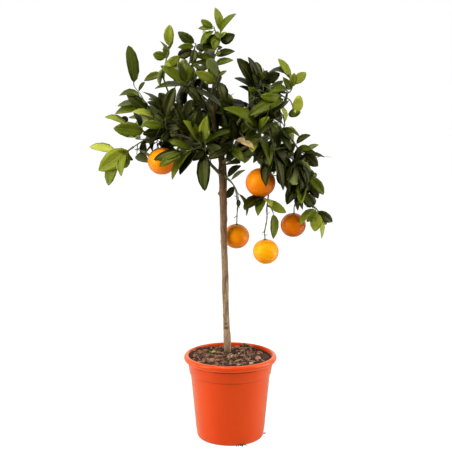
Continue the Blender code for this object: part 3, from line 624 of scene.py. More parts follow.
# Dark marks on the bark: (height, heading, half height, half width in degrees, depth of colour)
SCARS = (
    (247.5, 268, 2.4, 42, 1.0), (257, 260, 2.4, 18, 0.95), (412, 250, 2.0, 12, 0.5),
    (378, 262, 1.6, 10, 0.5), (306, 268, 1.8, 12, 0.45), (557, 178, 2.5, 14, 0.5),
    (470, 292, 5.0, 9, 0.35), (332, 300, 3.5, 10, 0.35),
)
stem_rings, stem_path = stem_shape()
stem_centre = stem_path[:, None]
stem_heading = np.degrees(np.arctan2(
    stem_rings[..., 1] - stem_centre[..., 1], stem_rings[..., 0] - stem_centre[..., 0]
)) % 360
scar_values = np.zeros(stem_rings.shape[:2])
for height, heading, half_height, half_width, depth in SCARS:
    up = (stem_rings[..., 2] * 1000 - height) / half_height
    mark = up**4 + ((stem_heading - heading) / half_width) ** 4
    scar_values = np.maximum(scar_values, depth * np.exp(-mark))
new_piece(
    "main_stem", [closed(stem_rings)], [stem_bark()], nodes=["stem"],
    values={"scar": np.concatenate([scar_values.ravel(), [0, 0]])},
)


# Boughs ------------------------------------------------------------------------------------------
# Eleven boughs grow out of the stem, the leader and one another, each swollen where it joins. Their
# bark is younger: smooth, brown near the stem and green towards the tips.

EYE = np.array((-9.8, -2300, 856))  # the viewpoint in front, from which the crown was set out
CROWN_SWEEP = 0.0009  # how far a place goes back, in millimetres for each square millimetre to the side

# name: (carrier, radius at the seat, radius at the end, places along it)
BOUGHS = {
    "bough_left": ("stem", 3.8, 2.6, ((-20, 2, 597), (-46, -8, 628), (-58, -14, 655), (-66, -18, 680))),
    "bough_left_out": (
        "bough_left", 2.2, 1.4,
        ((-66, -18, 672), (-110, -22, 690), (-150, -26, 696), (-186, -38, 680), (-212, -46, 664)),
    ),
    "bough_left_high": (
        "bough_left", 3.0, 1.8,
        ((-66, -16, 679), (-88, -20, 712), (-112, -26, 742), (-132, -30, 778), (-145, -31, 815)),
    ),
    "bough_back_left": (
        "stem", 3.8, 1.8,
        ((-22, 14, 640), (-55, 56, 674), (-95, 94, 698), (-112, 112, 728), (-112, 122, 768)),
    ),
    "bough_top_left": (
        "stem", 3.0, 1.6,
        ((-38, -2, 745), (-62, -12, 768), (-84, -18, 798), (-92, -20, 832), (-78, -20, 870)),
    ),
    "bough_back_top": ("stem", 2.8, 1.6, ((-36, 4, 722), (-44, 46, 750), (-40, 78, 788), (-34, 90, 826))),
    "bough_right_up": (
        "stem", 3.8, 1.8,
        ((-24, 3, 664), (2, -12, 696), (28, -20, 734), (46, -24, 762), (74, -28, 778), (108, -30, 786)),
    ),
    "bough_right": (
        "stem", 4.0, 2.0,
        ((-14, 4, 628), (12, -14, 650), (46, -28, 672), (84, -38, 690), (118, -42, 696), (136, -44, 676)),
    ),
    "bough_right_low": (
        "bough_right", 2.4, 1.6,
        ((112, -42, 694), (128, -30, 664), (146, -34, 622), (162, -38, 576), (180, -38, 532)),
    ),
    "bough_back_right": (
        "stem", 3.6, 1.8,
        ((-26, 10, 672), (4, 52, 698), (44, 86, 714), (84, 108, 728), (106, 116, 754)),
    ),
    "bough_hanging": (
        "bough_right", 2.2, 1.5,
        ((62, -30, 678), (70, 2, 650), (82, 12, 604), (84, -2, 562), (80, -18, 528)),
    ),
}
COLLAR = 0.55  # how much thicker a branch is where it leaves its carrier
COLLAR_LENGTH = 0.009
BOUGH_SIDES = 18


def in_crown(places):
    """Listed places of the crown in metres: each goes back with the square of its distance to the
    side, along its line from the viewpoint, so that the crown is rounded and its front stays put."""
    places = np.asarray(places, float)
    back = CROWN_SWEEP * places[..., :1] ** 2
    line = places - EYE
    return (places + line * back / line[..., 1:2]) / 1000


def nearest_on(carrier, place):
    """The place on a carrier's own path that lies nearest."""
    core = PATHS[carrier]
    return core[np.argmin(np.linalg.norm(core - place, axis=1))]


def grown_path(carrier, places, steps=10):
    """The way of a branch: from inside the carrier, under its bark, out through the listed places."""
    listed = in_crown(places)
    root = nearest_on(carrier, listed[0]) * 0.6 + listed[0] * 0.4
    return smooth_line(np.vstack([root, listed[1:]]), steps)


def branch_shape(path, first, last, sides, collar=COLLAR, relief=0.05):
    """Rings of a branch whose radius falls evenly from first to last, in millimetres, swells towards its
    seat as a fading exponential, and wanders a little in and out."""
    out = lengths_along(path)
    radii = (first + (last - first) * out / out[-1]) / 1000
    radii = radii * (1 + collar * np.exp(-out / COLLAR_LENGTH))
    rings = tube(path, radii, sides)
    outward = rings - path[:, None]
    wander = relief * lumps(rings, 0.006, 31) + relief * lumps(rings, 0.017, 32)
    return rings + outward * wander[..., None]


def young_bark():
    """Young bark: brown over green in patches drawn out along it, smooth enough to shine a little."""
    return mottled(
        "young_bark", (66, 50, 28), (104, 100, 52), scales=(60.0, 900.0), contrast=1.3,
        roughness=(0.75, 0.5), relief=(0.5, 0.0007), stretch=(1, 1, 0.6), specular=0.35,
    )


YOUNG_BARK = young_bark()
PATHS = {"stem": stem_path}
for name, (carrier, first, last, places) in BOUGHS.items():
    PATHS[name] = path = grown_path(carrier, places)
    shape = closed(branch_shape(path, first, last, BOUGH_SIDES))
    new_piece(name + "_bark", [shape], [YOUNG_BARK], nodes=[name])


# Oranges -----------------------------------------------------------------------------------------
# Five ripe oranges of slightly different ages, from yellow-orange to deep orange. The peel is a thin
# waxy skin full of pinhead oil glands, drawn in a little round the stalk and round the blossom scar.
# Each peel is painted lighter on its side towards the lamps and darker away from them, and a fruit in shade
# is painted darker.

# name: (centre, radius, ripeness from 0 to 1, carrier of its stalk, places along the stalk). A fruit
# that sits in shade is painted darker by a higher ripeness.
ORANGES = {
    "left": ((-149, -30, 634), 31.0, 0.38, "bough_left_out", ((-150, -26, 693), (-150, -28, 680))),
    "front": ((65, -38, 588), 32.5, 0.5, "bough_hanging", ((76, 6, 636), (68, -16, 642), (66, -30, 632))),
    "inner": (
        (14, 48, 455), 29.0, 0.34, "stem", ((-10, 14, 598), (8, 28, 572), (16, 40, 532), (15, 46, 502))
    ),
    "low": (
        (78, -30, 434), 28.5, 0.05, "bough_hanging", ((80, -20, 531), (80, -24, 505), (75, -29, 478))
    ),
    "right": (
        (139, -10, 490), 28.0, 0.7, "bough_right_low", ((157, -32, 570), (148, -24, 556), (141, -13, 532))
    ),
}
ORANGE_RINGS, ORANGE_SEGMENTS = 60, 84
FLATNESS = 0.97  # an orange's height over its breadth
# Painted light and shade: the side of each orange facing this way, to the lamps at the front left above, is
# painted lighter and the far side darker.
PAINTED_LIGHT_SIDE = (-0.35, -0.85, 0.4)
ADDED_RIPENESS_AND_SHADE = 0.2  # about what the clouds and the painted shade on the side away from the lamps add to the front


def square_to(axis):
    """Two directions that are square to an axis and to each other."""
    side = unit(np.cross(axis, (0.3, 1, 0.1)))
    return side, np.cross(axis, side)


def orange_shape(centre, radius, axis, seed):
    """A ball on an axis: the radius is drawn in round both poles as a bell, ribbed near the stalk, and
    wanders by a hundredth over its whole surface. With it come how near each point is to the stalk and
    to the scar, as bells, and painted shade: a value that grows on the side turned away from the lamps."""
    down = np.linspace(0.02, np.pi - 0.02, ORANGE_RINGS)[:, None]
    turn = turns(ORANGE_SEGMENTS)[None]
    side, other = square_to(axis)
    flat = np.sin(down)[..., None] * (np.cos(turn)[..., None] * side + np.sin(turn)[..., None] * other)
    ball = flat + (np.cos(down) + 0 * turn)[..., None] * axis
    ribs = 1 + 0.25 * np.cos(9 * turn + seed)
    reach = 1 - 0.05 * np.exp(-((down / 0.22) ** 2)) * ribs
    reach = reach - 0.022 * np.exp(-(((np.pi - down) / 0.16) ** 2))
    reach = reach + 0.010 * lumps(ball, 0.9, 40 + seed) + 0.003 * lumps(ball, 0.22, 50 + seed)
    rings = ball * (reach * radius)[..., None] * (1, 1, FLATNESS)
    values = {
        "pole": np.exp(-((down / 0.2) ** 2)) + 0 * turn,
        "scar": np.exp(-(((np.pi - down) / 0.1) ** 2)) + 0 * turn,
        "ripeness_and_painted_shade": 0.3 * (1 - ball @ unit(np.array(PAINTED_LIGHT_SIDE))),
    }
    return (rings + centre) / 1000, values


def orange_peel():
    """Waxy peel: colour by ripeness and by painted light and shade, with cloudy patches, dark gland dots, a
    greener ring round the stalk and a brown blossom scar. The glands are dimples a millimetre apart."""
    material, tree, shader = new_material(
        "orange_peel", Specular_IOR_Level=0.4, Specular_Tint=(1.0, 0.7, 0.12, 1.0),
        Subsurface_Weight=0.05, Subsurface_Radius=(1.0, 0.35, 0.08), Subsurface_Scale=0.004,
    )
    clouds = place_mottle(tree, Scale=20.0, Fine_Scale=240.0, Contrast=1.2)
    # Ripeness and painted shade pick the colour together: the peel is painted darker away from the lamps.
    drift = compute(tree, "MULTIPLY_ADD", clouds["Mask"], 0.3, attribute(tree, "ripeness_and_painted_shade"))
    shade = colour_ramp(tree, drift, (
        (0.0, (240, 156, 6)), (0.3, (236, 138, 3)), (0.62, (220, 112, 0)), (0.85, (200, 90, 0)),
        (1.0, (160, 66, 0)),
    ))
    spots = {"Vector": object_place(tree), "Scale": 780.0, "Randomness": 0.9}
    glands = add_node(tree, "TexVoronoi", spots, feature="SMOOTH_F1").outputs["Distance"]
    gland = value_between(tree, glands, 0, 0.35, start=0.28, end=0.05)
    shade = blend(tree, gland, shade, colour(206, 96, 8))
    shade = blend(tree, attribute(tree, "pole"), shade, colour(176, 132, 30))
    shade = blend(tree, attribute(tree, "scar"), shade, colour(112, 76, 34))
    dress(tree, shader, shade, value_between(tree, clouds["Mask"], 0.22, 0.32), glands, 0.35, 0.0006)
    return material


ORANGE_PEEL = orange_peel()
HANGING = {}  # each orange's middle, in millimetres, and its axis towards its stalk
for seed, (name, (centre, radius, ripeness_and_painted_shade, _, stalk)) in enumerate(ORANGES.items()):
    middle = in_crown(centre) * 1000
    HANGING[name] = middle, unit(in_crown(stalk[-1]) * 1000 - middle)
    rings, values = orange_shape(middle, radius, HANGING[name][1], seed)
    # Each fruit's listed ripeness, raised where it is painted darker for shade, is added to the painted
    # shade of its sides.
    values["ripeness_and_painted_shade"] = values["ripeness_and_painted_shade"] + ripeness_and_painted_shade - ADDED_RIPENESS_AND_SHADE
    for key, field in values.items():
        values[key] = np.concatenate([field.ravel(), [field[0, 0], field[-1, 0]]])
    new_piece(
        "fruit_" + name, [closed(rings)], [ORANGE_PEEL], nodes=["orange_" + name], values=values
    )


# Fruit stalks ------------------------------------------------------------------------------------
# Each orange hangs from a thin green-grey stalk, knotted where leaves and flowers fell from it, that
# ends in a woody calyx of five lobes clasping the top of the fruit.

STALK_RADII, STALK_SIDES, CALYX_RADIUS = (1.35, 1.2), 12, 4.6
STALK_SEAT = 0.957  # where the stalk meets the peel, over the orange's radius
STUB_RADII = (0.9, 0.8, 0.7, 0.7, 0.9, 0.7)
# Stubs of old flower stalks: (fruit, share along the stalk, from its foot to its end)
STUBS = (
    ("inner", 0.5, (-6, -3, 2)), ("inner", 0.68, (5, -4, -3)), ("inner", 0.84, (-7, -3, -6)),
    ("low", 0.2, (5, -4, 6)), ("low", 0.72, (-6, -4, -5)), ("low", 0.86, (6, -5, 2)),
    ("right", 0.45, (-5, -5, 3)), ("right", 0.75, (4, -5, 4)), ("front", 0.6, (5, -6, 2)),
    ("left", 0.5, (-4, -5, 3)),
)


def calyx_shape(foot, axis, radius):
    """A shallow cup of five lobes: the reach swings five times round, and the rim lies on the fruit. Each
    row is how far out it stands over the radius, and how far up the axis in millimetres."""
    turn = turns(40)
    side, other = square_to(axis)
    lobes = 0.72 + 0.28 * np.abs(np.cos(2.5 * turn)) ** 0.7
    round_axis = np.cos(turn)[:, None] * side + np.sin(turn)[:, None] * other
    rows = ((0.25, 1.9), (0.42, 1.5), (0.7, 1.0), (0.95, 0.25), (1.0, -0.35), (0.9, -0.7), (0.5, -0.5))
    return np.stack([
        foot + round_axis * (radius * out * (lobes if out > 0.5 else 1 + 0 * lobes))[:, None] + axis * up
        for out, up in rows
    ]) / 1000


def stalk_green():
    """Green stalk tissue turning grey and corky, in patches drawn out along it."""
    return mottled(
        "stalk_green", (60, 66, 26), (132, 132, 78), scales=(110.0, 1400.0), contrast=1.4,
        roughness=(0.72, 0.5), relief=(0.5, 0.0006), stretch=(1, 1, 0.4), specular=0.35,
    )


STALK_GREEN = stalk_green()
for seed, (name, (_, radius, _, carrier, places)) in enumerate(ORANGES.items()):
    middle, axis = HANGING[name]
    foot = middle + axis * (1, 1, FLATNESS) * radius * STALK_SEAT
    listed = in_crown(places)
    root = nearest_on(carrier, listed[0])
    path = smooth_line(np.vstack([root, listed[1:], (foot + axis * 6) / 1000, foot / 1000]), 12)
    stalk = branch_shape(path, *STALK_RADII, STALK_SIDES, collar=0.4, relief=0.09)
    knots = 1 + 0.35 * np.exp(-((np.linspace(0, 1, len(path)) * 7.3 + seed) % 1 - 0.5) ** 2 / 0.012)
    stalk = path[:, None] + (stalk - path[:, None]) * knots[:, None, None]
    shapes = [closed(stalk), closed(calyx_shape(foot, axis, CALYX_RADIUS))]
    for stub_name, share, way in STUBS:
        if stub_name == name:
            out = np.linspace(0, 1, len(STUB_RADII))[:, None] * np.array(way) / 1000
            shapes.append(closed(tube(along(path, share) + out, np.array(STUB_RADII) / 1000, 8)))
    new_piece("fruit_stalk_" + name, shapes, [STALK_GREEN], nodes=["stalk_" + name])


# Leafy shoots ------------------------------------------------------------------------------------
# Thirty-six shoots carry the foliage. A leaf is a glossy dark blade on a short stalk, folded along its
# midrib and arched, with a paler underside; the young ones at the tips are lighter and yellower.

# name: (carrier, places along the twig, share of it that is bare, leaf tips as (x, y, z, breadth seen
# from the front, finish)). The finish is 0 for the darkest leaf to 4 for the youngest, 5 for one that
# shows its underside and 6 for a dried one. Where a sixth number follows, the leaf arches by that much
# of its length, and the others arch by chance.
SHOOTS = {
    "shoot_leader_low": ("stem", ((-34, -5, 790), (-28, -18, 806), (-24, -26, 820)), 0.4, (
        (-75, -50, 826, 18, 3), (-10, -50, 762, 16, 0), (-47, -50, 853, 18, 5), (-8, -34, 828, 6, 2),
    )),
    "shoot_leader_tip": ("stem", (
        (-31, -3, 819), (-36, -5, 850), (-27, -6, 873), (-24, -6, 895), (-22, -5, 915),
    ), 0.15, (
        (-75, -30, 846, 10, 1), (6, -22, 850, 11, 2), (-49, 32, 868, 13, 1), (-74, -20, 861, 12, 3),
        (9, -20, 869, 12, 1), (-21, -24, 867, 8, 3), (-65, -26, 879, 9, 1), (-17, -20, 878, 7, 2),
        (-38, -28, 893, 8, 3), (9, -24, 904, 18, 1), (-8, -24, 909, 6, 3), (12, -15, 948, 10, 2),
        (-33, -6, 961, 13, 3),
    )),
    "shoot_top_rosette": ("shoot_leader_tip", ((-25, -7, 890), (-31, -12, 906), (-36, -14, 922)), 0.5, (
        (-34, -32, 871, 15, 2), (-50, -6, 881, 13, 1), (-24, -26, 896, 8, 2), (-64, -24, 878, 10, 2),
        (-69, -16, 917, 8, 2), (-63, -14, 935, 11, 2),
    )),
    "shoot_arch_left": ("bough_top_left", ((-80, -20, 866), (-77, -22, 876), (-74, -24, 886)), 0.3, (
        (-113, -14, 859, 16, 0), (-82, -42, 842, 13, 1), (-112, -38, 877, 11, 2),
        (-55, -30, 872, 11, 0), (-112, -26, 910, 16, 1),
    )),
    "shoot_left_peak": ("bough_left_high", ((-145, -31, 812), (-139, -30, 846), (-130, -30, 880)), 0.15, (
        (-184, -44, 807, 12, 2), (-109, -16, 859, 16, 3), (-150, -54, 796, 9, 5),
        (-127, -52, 838, 11, 3), (-140, -10, 883, 11, 3), (-165, -38, 863, 15, 2),
        (-151, -30, 890, 4, 2), (-123, -22, 891, 5, 1), (-130, -30, 924, 16, 3),
    )),
    "shoot_left_front": ("bough_top_left", ((-86, -19, 803), (-94, -34, 796), (-98, -40, 806)), 0.4, (
        (-107, -50, 780, 9, 0), (-61, -44, 760, 16, 0), (-20, -60, 753, 8, 1), (-161, -56, 790, 9, 2),
        (-148, -54, 838, 16, 2), (-87, -34, 840, 13, 2), (-108, -56, 843, 13, 1),
        (-101, -40, 847, 11, 5),
    )),
    "shoot_left_solo": ("bough_left_high", (
        (-100, -23, 727), (-140, -16, 720), (-165, -32, 726), (-176, -38, 745), (-192, -37, 776),
        (-206, -35, 794), (-208, -34, 803),
    ), 0.4, (
        (-210, -62, 741, 11, 4), (-221, -48, 779, 20, 1), (-248, -34, 736, 16, 2),
        (-243, -30, 753, 11, 2), (-239, -32, 774, 11, 2), (-183, -44, 804, 6, 1),
        (-218, -30, 880, 20, 2),
    )),
    "shoot_left_upper": ("bough_left_out", (
        (-170, -33, 688), (-186, -44, 699), (-207, -48, 712), (-225, -46, 713), (-238, -45, 712),
    ), 0.2, (
        (-247, -78, 708, 25, 2), (-210, -24, 738, 10, 1), (-224, -30, 708, 6, 2),
        (-269, -45, 730, 11, 3), (-226, -20, 730, 12, 1),
    )),
    "shoot_left_tip": ("bough_left_out", (
        (-209, -46, 666), (-223, -50, 657), (-236, -48, 655), (-251, -45, 651),
    ), 0.1, (
        (-282, -64, 617, 32, 3), (-232, -30, 619, 15, 3), (-232, -84, 607, 12, 3),
        (-242, -40, 615, 11, 3), (-244, -76, 661, 8, 3, 0.35), (-264, -50, 584, 20, 3),
        (-304, -40, 666, 16, 4), (-212, -30, 636, 12, 1),
    )),
    "shoot_left_dark": ("bough_left_out", (
        (-126, -24, 693), (-138, -40, 704), (-140, -46, 722), (-137, -46, 738),
    ), 0.1, (
        (-177, -56, 675, 11, 0), (-150, -70, 681, 13, 0), (-187, -64, 695, 16, 0),
        (-106, -62, 708, 13, 0), (-187, -60, 716, 15, 2), (-165, -40, 734, 15, 1),
        (-189, -50, 783, 10, 1, 0.17), (-118, -60, 792, 20, 0), (-168, -36, 655, 12, 1),
        (-178, -40, 762, 12, 0),
    )),
    "shoot_over_orange": ("bough_left", ((-66, -24, 662), (-84, -42, 660), (-105, -54, 650)), 0.2, (
        (-108, -64, 608, 16, 0), (-124, -68, 598, 13, 2), (-113, -46, 675, 12, 2),
        (-132, -50, 679, 13, 2), (-163, -76, 641, 16, 1), (-150, -88, 628, 15, 2),
    )),
    "shoot_centre_left": ("bough_left", (
        (-61, -26, 668), (-76, -42, 690), (-94, -52, 714), (-100, -52, 735),
    ), 0.12, (
        (-100, -80, 724, 15, 3), (-63, -70, 702, 13, 1), (-120, -72, 724, 14, 0),
        (-71, -72, 742, 13, 0), (-118, -54, 760, 16, 1), (-83, -72, 768, 18, 1),
    )),
    "shoot_centre_front": ("bough_left", ((-57, -14, 652), (-54, -40, 664), (-55, -54, 690)), 0.22, (
        (-55, -66, 574, 22, 1), (-81, -50, 636, 13, 0), (-20, -72, 666, 15, 0),
        (7, -64, 700, 9, 1, 0.12), (-50, -82, 734, 18, 3), (-59, -60, 740, 13, 1),
    )),
    "shoot_centre_right": ("bough_right", ((6, -10, 648), (5, -36, 670), (8, -50, 684)), 0.3, (
        (-6, -60, 635, 15, 1), (31, -66, 635, 16, 2), (-48, -74, 642, 20, 0), (1, -64, 729, 15, 0),
        (49, -86, 665, 12, 6),
    )),
    "shoot_stem_low": ("stem", ((-10, 2, 600), (2, -16, 586), (14, -24, 567), (18, -28, 546)), 0.15, (
        (23, -30, 623, 11, 0), (32, -34, 614, 6, 3), (-8, -30, 553, 11, 0), (34, -34, 514, 6, 2),
        (17, -40, 534, 7, 1),
    )),
    "shoot_right_peak": ("bough_right_up", (
        (50, -25, 765), (52, -32, 782), (58, -34, 796), (66, -34, 808),
    ), 0.15, (
        (18, -52, 795, 6, 0), (72, -50, 782, 9, 0), (38, -60, 794, 11, 3), (8, -46, 812, 8, 1),
        (14, -42, 853, 19, 0), (46, -60, 820, 9, 1), (37, -40, 856, 11, 0), (55, -8, 846, 18, 0),
        (105, -34, 822, 18, 0), (78, -50, 829, 11, 2),
    )),
    "shoot_right_top": ("bough_right_up", (
        (106, -30, 786), (123, -36, 781), (132, -36, 792), (130, -30, 811),
    ), 0.3, (
        (101, -44, 785, 6, 1), (83, -52, 781, 10, 2, 0.22), (111, -52, 815, 12, 2),
        (136, -44, 823, 12, 3), (162, -24, 824, 15, 3), (77, -16, 819, 9, 1, 0.36),
        (102, -26, 853, 12, 3),
    )),
    "shoot_right_front": ("bough_right_up", (
        (98, -30, 784), (114, -46, 773), (127, -50, 766), (134, -48, 748),
    ), 0.2, (
        (58, -36, 755, 9, 0), (64, -62, 775, 17, 2), (39, -70, 734, 20, 2), (90, -78, 738, 10, 1),
        (154, -60, 754, 28, 4), (141, -40, 730, 20, 2),
    )),
    "shoot_right_middle": ("bough_right", (
        (98, -40, 693), (115, -50, 709), (113, -50, 730), (105, -48, 744),
    ), 0.05, (
        (128, -66, 659, 12, 1), (135, -62, 701, 11, 2), (104, -62, 756, 7, 4), (75, -62, 721, 8, 3),
        (32, -62, 716, 11, 2),
    )),
    "shoot_right_out": ("bough_right", (
        (134, -44, 680), (146, -50, 662), (163, -50, 648), (178, -46, 640),
    ), 0.08, (
        (125, -70, 646, 11, 1), (172, -44, 691, 10, 1), (172, -64, 663, 11, 2), (183, -66, 654, 9, 1),
        (188, -52, 625, 18, 0), (190, -42, 670, 9, 5), (203, -48, 643, 6, 1), (152, -60, 632, 13, 0),
        (142, -36, 640, 12, 1),
    )),
    "shoot_centre_grey": ("bough_right", ((52, -30, 675), (60, -50, 690), (63, -58, 704)), 0.3, (
        (46, -88, 659, 15, 4), (28, -74, 687, 11, 2), (81, -98, 630, 13, 2), (82, -88, 732, 11, 3),
        (-15, -80, 749, 16, 2),
    )),
    "shoot_over_front_orange": ("bough_right", (
        (86, -39, 690), (92, -58, 668), (96, -64, 636), (99, -62, 612),
    ), 0.1, (
        (79, -88, 631, 13, 0), (49, -76, 634, 16, 0), (130, -50, 619, 13, 1), (112, -76, 576, 16, 0),
        (76, -92, 586, 16, 0), (66, -60, 622, 12, 0), (56, -40, 640, 14, 0), (114, -50, 584, 12, 0),
    )),
    "shoot_right_hanging": ("bough_right_low", ((137, -32, 642), (138, -52, 638), (138, -62, 630)), 0.5, (
        (167, -62, 574, 13, 0), (119, -74, 595, 11, 1), (171, -84, 616, 9, 5, 0.12),
        (136, -88, 589, 22, 5), (150, -70, 567, 14, 0), (128, -56, 568, 13, 1), (150, -58, 668, 12, 0),
    )),
    "shoot_right_side": ("bough_right_low", ((155, -36, 596), (166, -48, 606), (173, -52, 608)), 0.4, (
        (123, -44, 541, 20, 0), (153, -76, 546, 18, 3), (190, -42, 554, 18, 0),
        (200, -62, 565, 16, 2, 0.22), (150, -50, 541, 14, 0), (166, -44, 545, 13, 1),
        (180, -50, 612, 12, 1), (146, -60, 530, 14, 0), (158, -30, 528, 13, 0), (186, -40, 600, 13, 1),
    )),
    "shoot_right_tip": ("bough_right_low", ((179, -38, 536), (188, -46, 530), (190, -46, 520)), 0.2, (
        (156, -62, 570, 20, 1), (153, -68, 499, 11, 3), (166, -50, 503, 15, 3), (222, -42, 502, 15, 1),
        (209, -34, 494, 11, 5), (183, -58, 484, 20, 4), (198, -48, 466, 8, 4),
    )),
    "shoot_low_front": ("bough_hanging", ((84, -3, 560), (73, -30, 554), (81, -46, 551)), 0.4, (
        (30, -66, 532, 17, 0), (59, -74, 520, 16, 2), (87, -78, 540, 9, 4), (120, -58, 525, 15, 3),
    )),
    "shoot_low_arch": ("bough_hanging", ((82, -16, 534), (89, -24, 530), (94, -28, 519)), 0.9, (
        (94, -30, 463, 14, 3),
    )),
}
# The shoots of the back, whose leaves stand in a spiral: (carrier, places, leaves, leaf length). The
# leaves are counted before those that would reach out of the thick parts of the crown are left out.
SPIRAL_SHOOTS = {
    "shoot_back_left_tip": (
        "bough_back_left", ((-112, 120, 764), (-114, 128, 790), (-104, 130, 820)), 22, 54
    ),
    "shoot_back_left_out": (
        "bough_back_left", ((-110, 102, 710), (-150, 114, 703), (-188, 108, 712)), 23, 56
    ),
    "shoot_back_left_low": ("bough_back_left", ((-58, 58, 669), (-84, 84, 664), (-112, 92, 660)), 22, 54),
    "shoot_back_top": ("bough_back_top", ((-34, 90, 822), (-44, 98, 846), (-58, 96, 872)), 22, 52),
    "shoot_back_top_left": ("bough_back_top", ((-43, 48, 754), (-78, 58, 788), (-100, 62, 820)), 22, 54),
    "shoot_back_top_right": ("bough_back_top", ((-40, 76, 786), (-32, 92, 784), (-18, 106, 770)), 22, 54),
    "shoot_back_right_tip": ("bough_back_right", ((98, 121, 746), (92, 130, 770), (84, 126, 796)), 22, 54),
    "shoot_back_right_out": (
        "bough_back_right", ((70, 100, 724), (100, 108, 708), (128, 100, 690)), 23, 56
    ),
    "shoot_back_right_low": ("bough_back_right", ((46, 87, 715), (70, 92, 678), (98, 82, 644)), 22, 52),
}
# The thick parts of the crown, where the back and inner leaves stand, as ellipses seen from the front:
# (x, z, half breadth, half height)
THICK_PARTS = (
    (-119, 697, 76, 54), (-47, 864, 20, 69), (-19, 695, 65, 65), (70, 704, 48, 76), (147, 589, 43, 59),
    (-108, 829, 28, 30), (60, 806, 26, 33), (114, 801, 15, 20), (79, 555, 39, 22), (-211, 725, 28, 28),
    (-84, 795, 26, 20), (-43, 773, 30, 30), (84, 642, 38, 44), (-176, 655, 34, 36), (8, 640, 26, 34),
    (-170, 760, 26, 26), (150, 540, 34, 34), (152, 655, 26, 30),
)
BACK_REACH = 0.186  # none of those leaves stands further back than this, in metres
BREADTH, BROADEST = 0.4, 0.033  # a leaf's breadth over its length and at most, unless more of it shows
FINISHES = (0.0, 0.13, 0.35, 0.54, 0.78, 0.42, 0.0)  # the tone of each finish
SEEN_GAIN = 1.4  # the breadth seen is listed between the soft edges of a leaf,
TIP_GAIN = 1.02  # and its tip where it is still broad enough to see
BLADE_START, BLADE_SHARE = 0.09, 0.91  # where along a leaf its blade starts, and how much of it is blade
STATIONS = (0.0, BLADE_START, 0.17, 0.34, 0.57, 0.79, 0.945)  # the rings along a leaf
SWELL = 0.62  # the power by which a blade widens from its foot
LAST_LEAF = 0.95  # how far along a twig its last leaf stands
GOLDEN_TURN = math.radians(137.5)
TWIG_RADII, TWIG_SIDES = (1.9, 1.0), 9
OUTWARDS_FROM = stem_path[60]  # a place low on the stem, which the leaves of the back face away from


def leaf_shapes(base, tip, breadth, facing, arch, fold, bend, wave, point):
    """Closed leaves. A blade's half breadth at a share t of its length is t^0.62 (1 - t)^point, scaled to
    its widest, so that a small point gives a blunt tip. Its midrib is a parabola that rises by arch and
    swings aside by bend, its halves rise from it by fold, and its edges wave. The section is a lens,
    thickest at the midrib. With them come each point's place across and along its blade, and which faces
    are underneath."""
    count = len(base)
    length = np.linalg.norm(tip - base, axis=1)[:, None]
    axis = (tip - base) / length
    normal = unit(facing - axis * np.sum(facing * axis, axis=1, keepdims=True))
    side = np.cross(axis, normal)
    length, breadth, arch, fold, bend, wave, point = (
        each.reshape(count, 1, 1) for each in (length, breadth, arch, fold, bend, wave, point)
    )
    s = np.array(STATIONS)[None, :, None]
    t = np.clip((s - BLADE_START) / BLADE_SHARE, 0, 1)
    widest = SWELL / (SWELL + point)
    outline = (t / widest) ** SWELL * ((1 - t) / (1 - widest)) ** point
    half = np.maximum(breadth / 2 * outline, 0.0008 + 0 * s)
    across = np.array((-1, -0.5, 0, 0.5, 1, 0.5, 0, -0.5))[None, None]
    under = np.array((0, 0, 0, 0, 0, 1, 1, 1))[None, None]
    blade = np.clip(t * 12, 0, 1)
    thick = 0.00055 + 0.0008 * (1 - blade) + 0.0004 * (1 - np.abs(across)) * (1 - t)
    lens = thick * (1 - across**2) * (0.5 - under)
    vee = fold * np.abs(across) * half * blade
    ripple = wave * half * across**2 * np.sin(7 * s + 9 * wave * np.sign(across) * 10)
    rise = arch * length * 4 * s * (1 - s)
    swing = bend * length * 4 * s * (1 - s)
    lift = (rise + lens + vee + ripple * blade)[..., None] * normal[:, None, None]
    wide = (across * half + swing)[..., None] * side[:, None, None]
    rings = base[:, None, None] + (s * length)[..., None] * axis[:, None, None] + lift + wide
    grid = (count, len(STATIONS), 8)
    across, t = (np.broadcast_to(each, grid).reshape(count, -1) for each in (across, t))
    values = {
        "across": np.hstack([across, np.zeros((count, 2))]),
        "along": np.hstack([t, np.tile((0.0, 1.0), (count, 1))]),
    }
    underneath = (0, 0, 0, 0, 1, 1, 1, 1)  # of the faces round a band between two rings, or round an end
    under_faces = np.tile(underneath, count * (len(STATIONS) + 1))
    return skinned(rings, np.stack([base, tip], 1)), values, under_faces


def facing_front(base, tip, breadth_seen, breadth, shows_under):
    """Where a leaf's face points, so that the breadth seen from the front is right: it is turned about
    its own length by the angle whose cosine is seen over real, towards the sky."""
    axis = unit(tip - base)
    view = unit((base + tip) / 2 - EYE / 1000)
    front = unit(-view + axis * np.sum(view * axis, axis=1, keepdims=True))
    aside = np.cross(axis, front)
    cosine = np.clip(breadth_seen / breadth, 0.15, 1)[:, None]
    sine = np.sqrt(1 - cosine**2)
    sky = np.where(aside[:, 2:] < 0, -1, 1)
    front = np.where(shows_under[:, None], -front, front)
    return cosine * front + sine * sky * aside


def in_thick_parts(places):
    """True where a place lies inside any of the ellipses, as seen from the front, and not too far back."""
    seen = EYE + (places * 1000 - EYE) * EYE[1] / (EYE[1] - places[:, 1:2] * 1000)
    part = np.array(THICK_PARTS)
    aside = (seen[:, :1] - part[:, 0]) / part[:, 2]
    up = (seen[:, 2:] - part[:, 1]) / part[:, 3]
    return (aside**2 + up**2 < 1).any(axis=1) & (places[:, 1] < BACK_REACH)


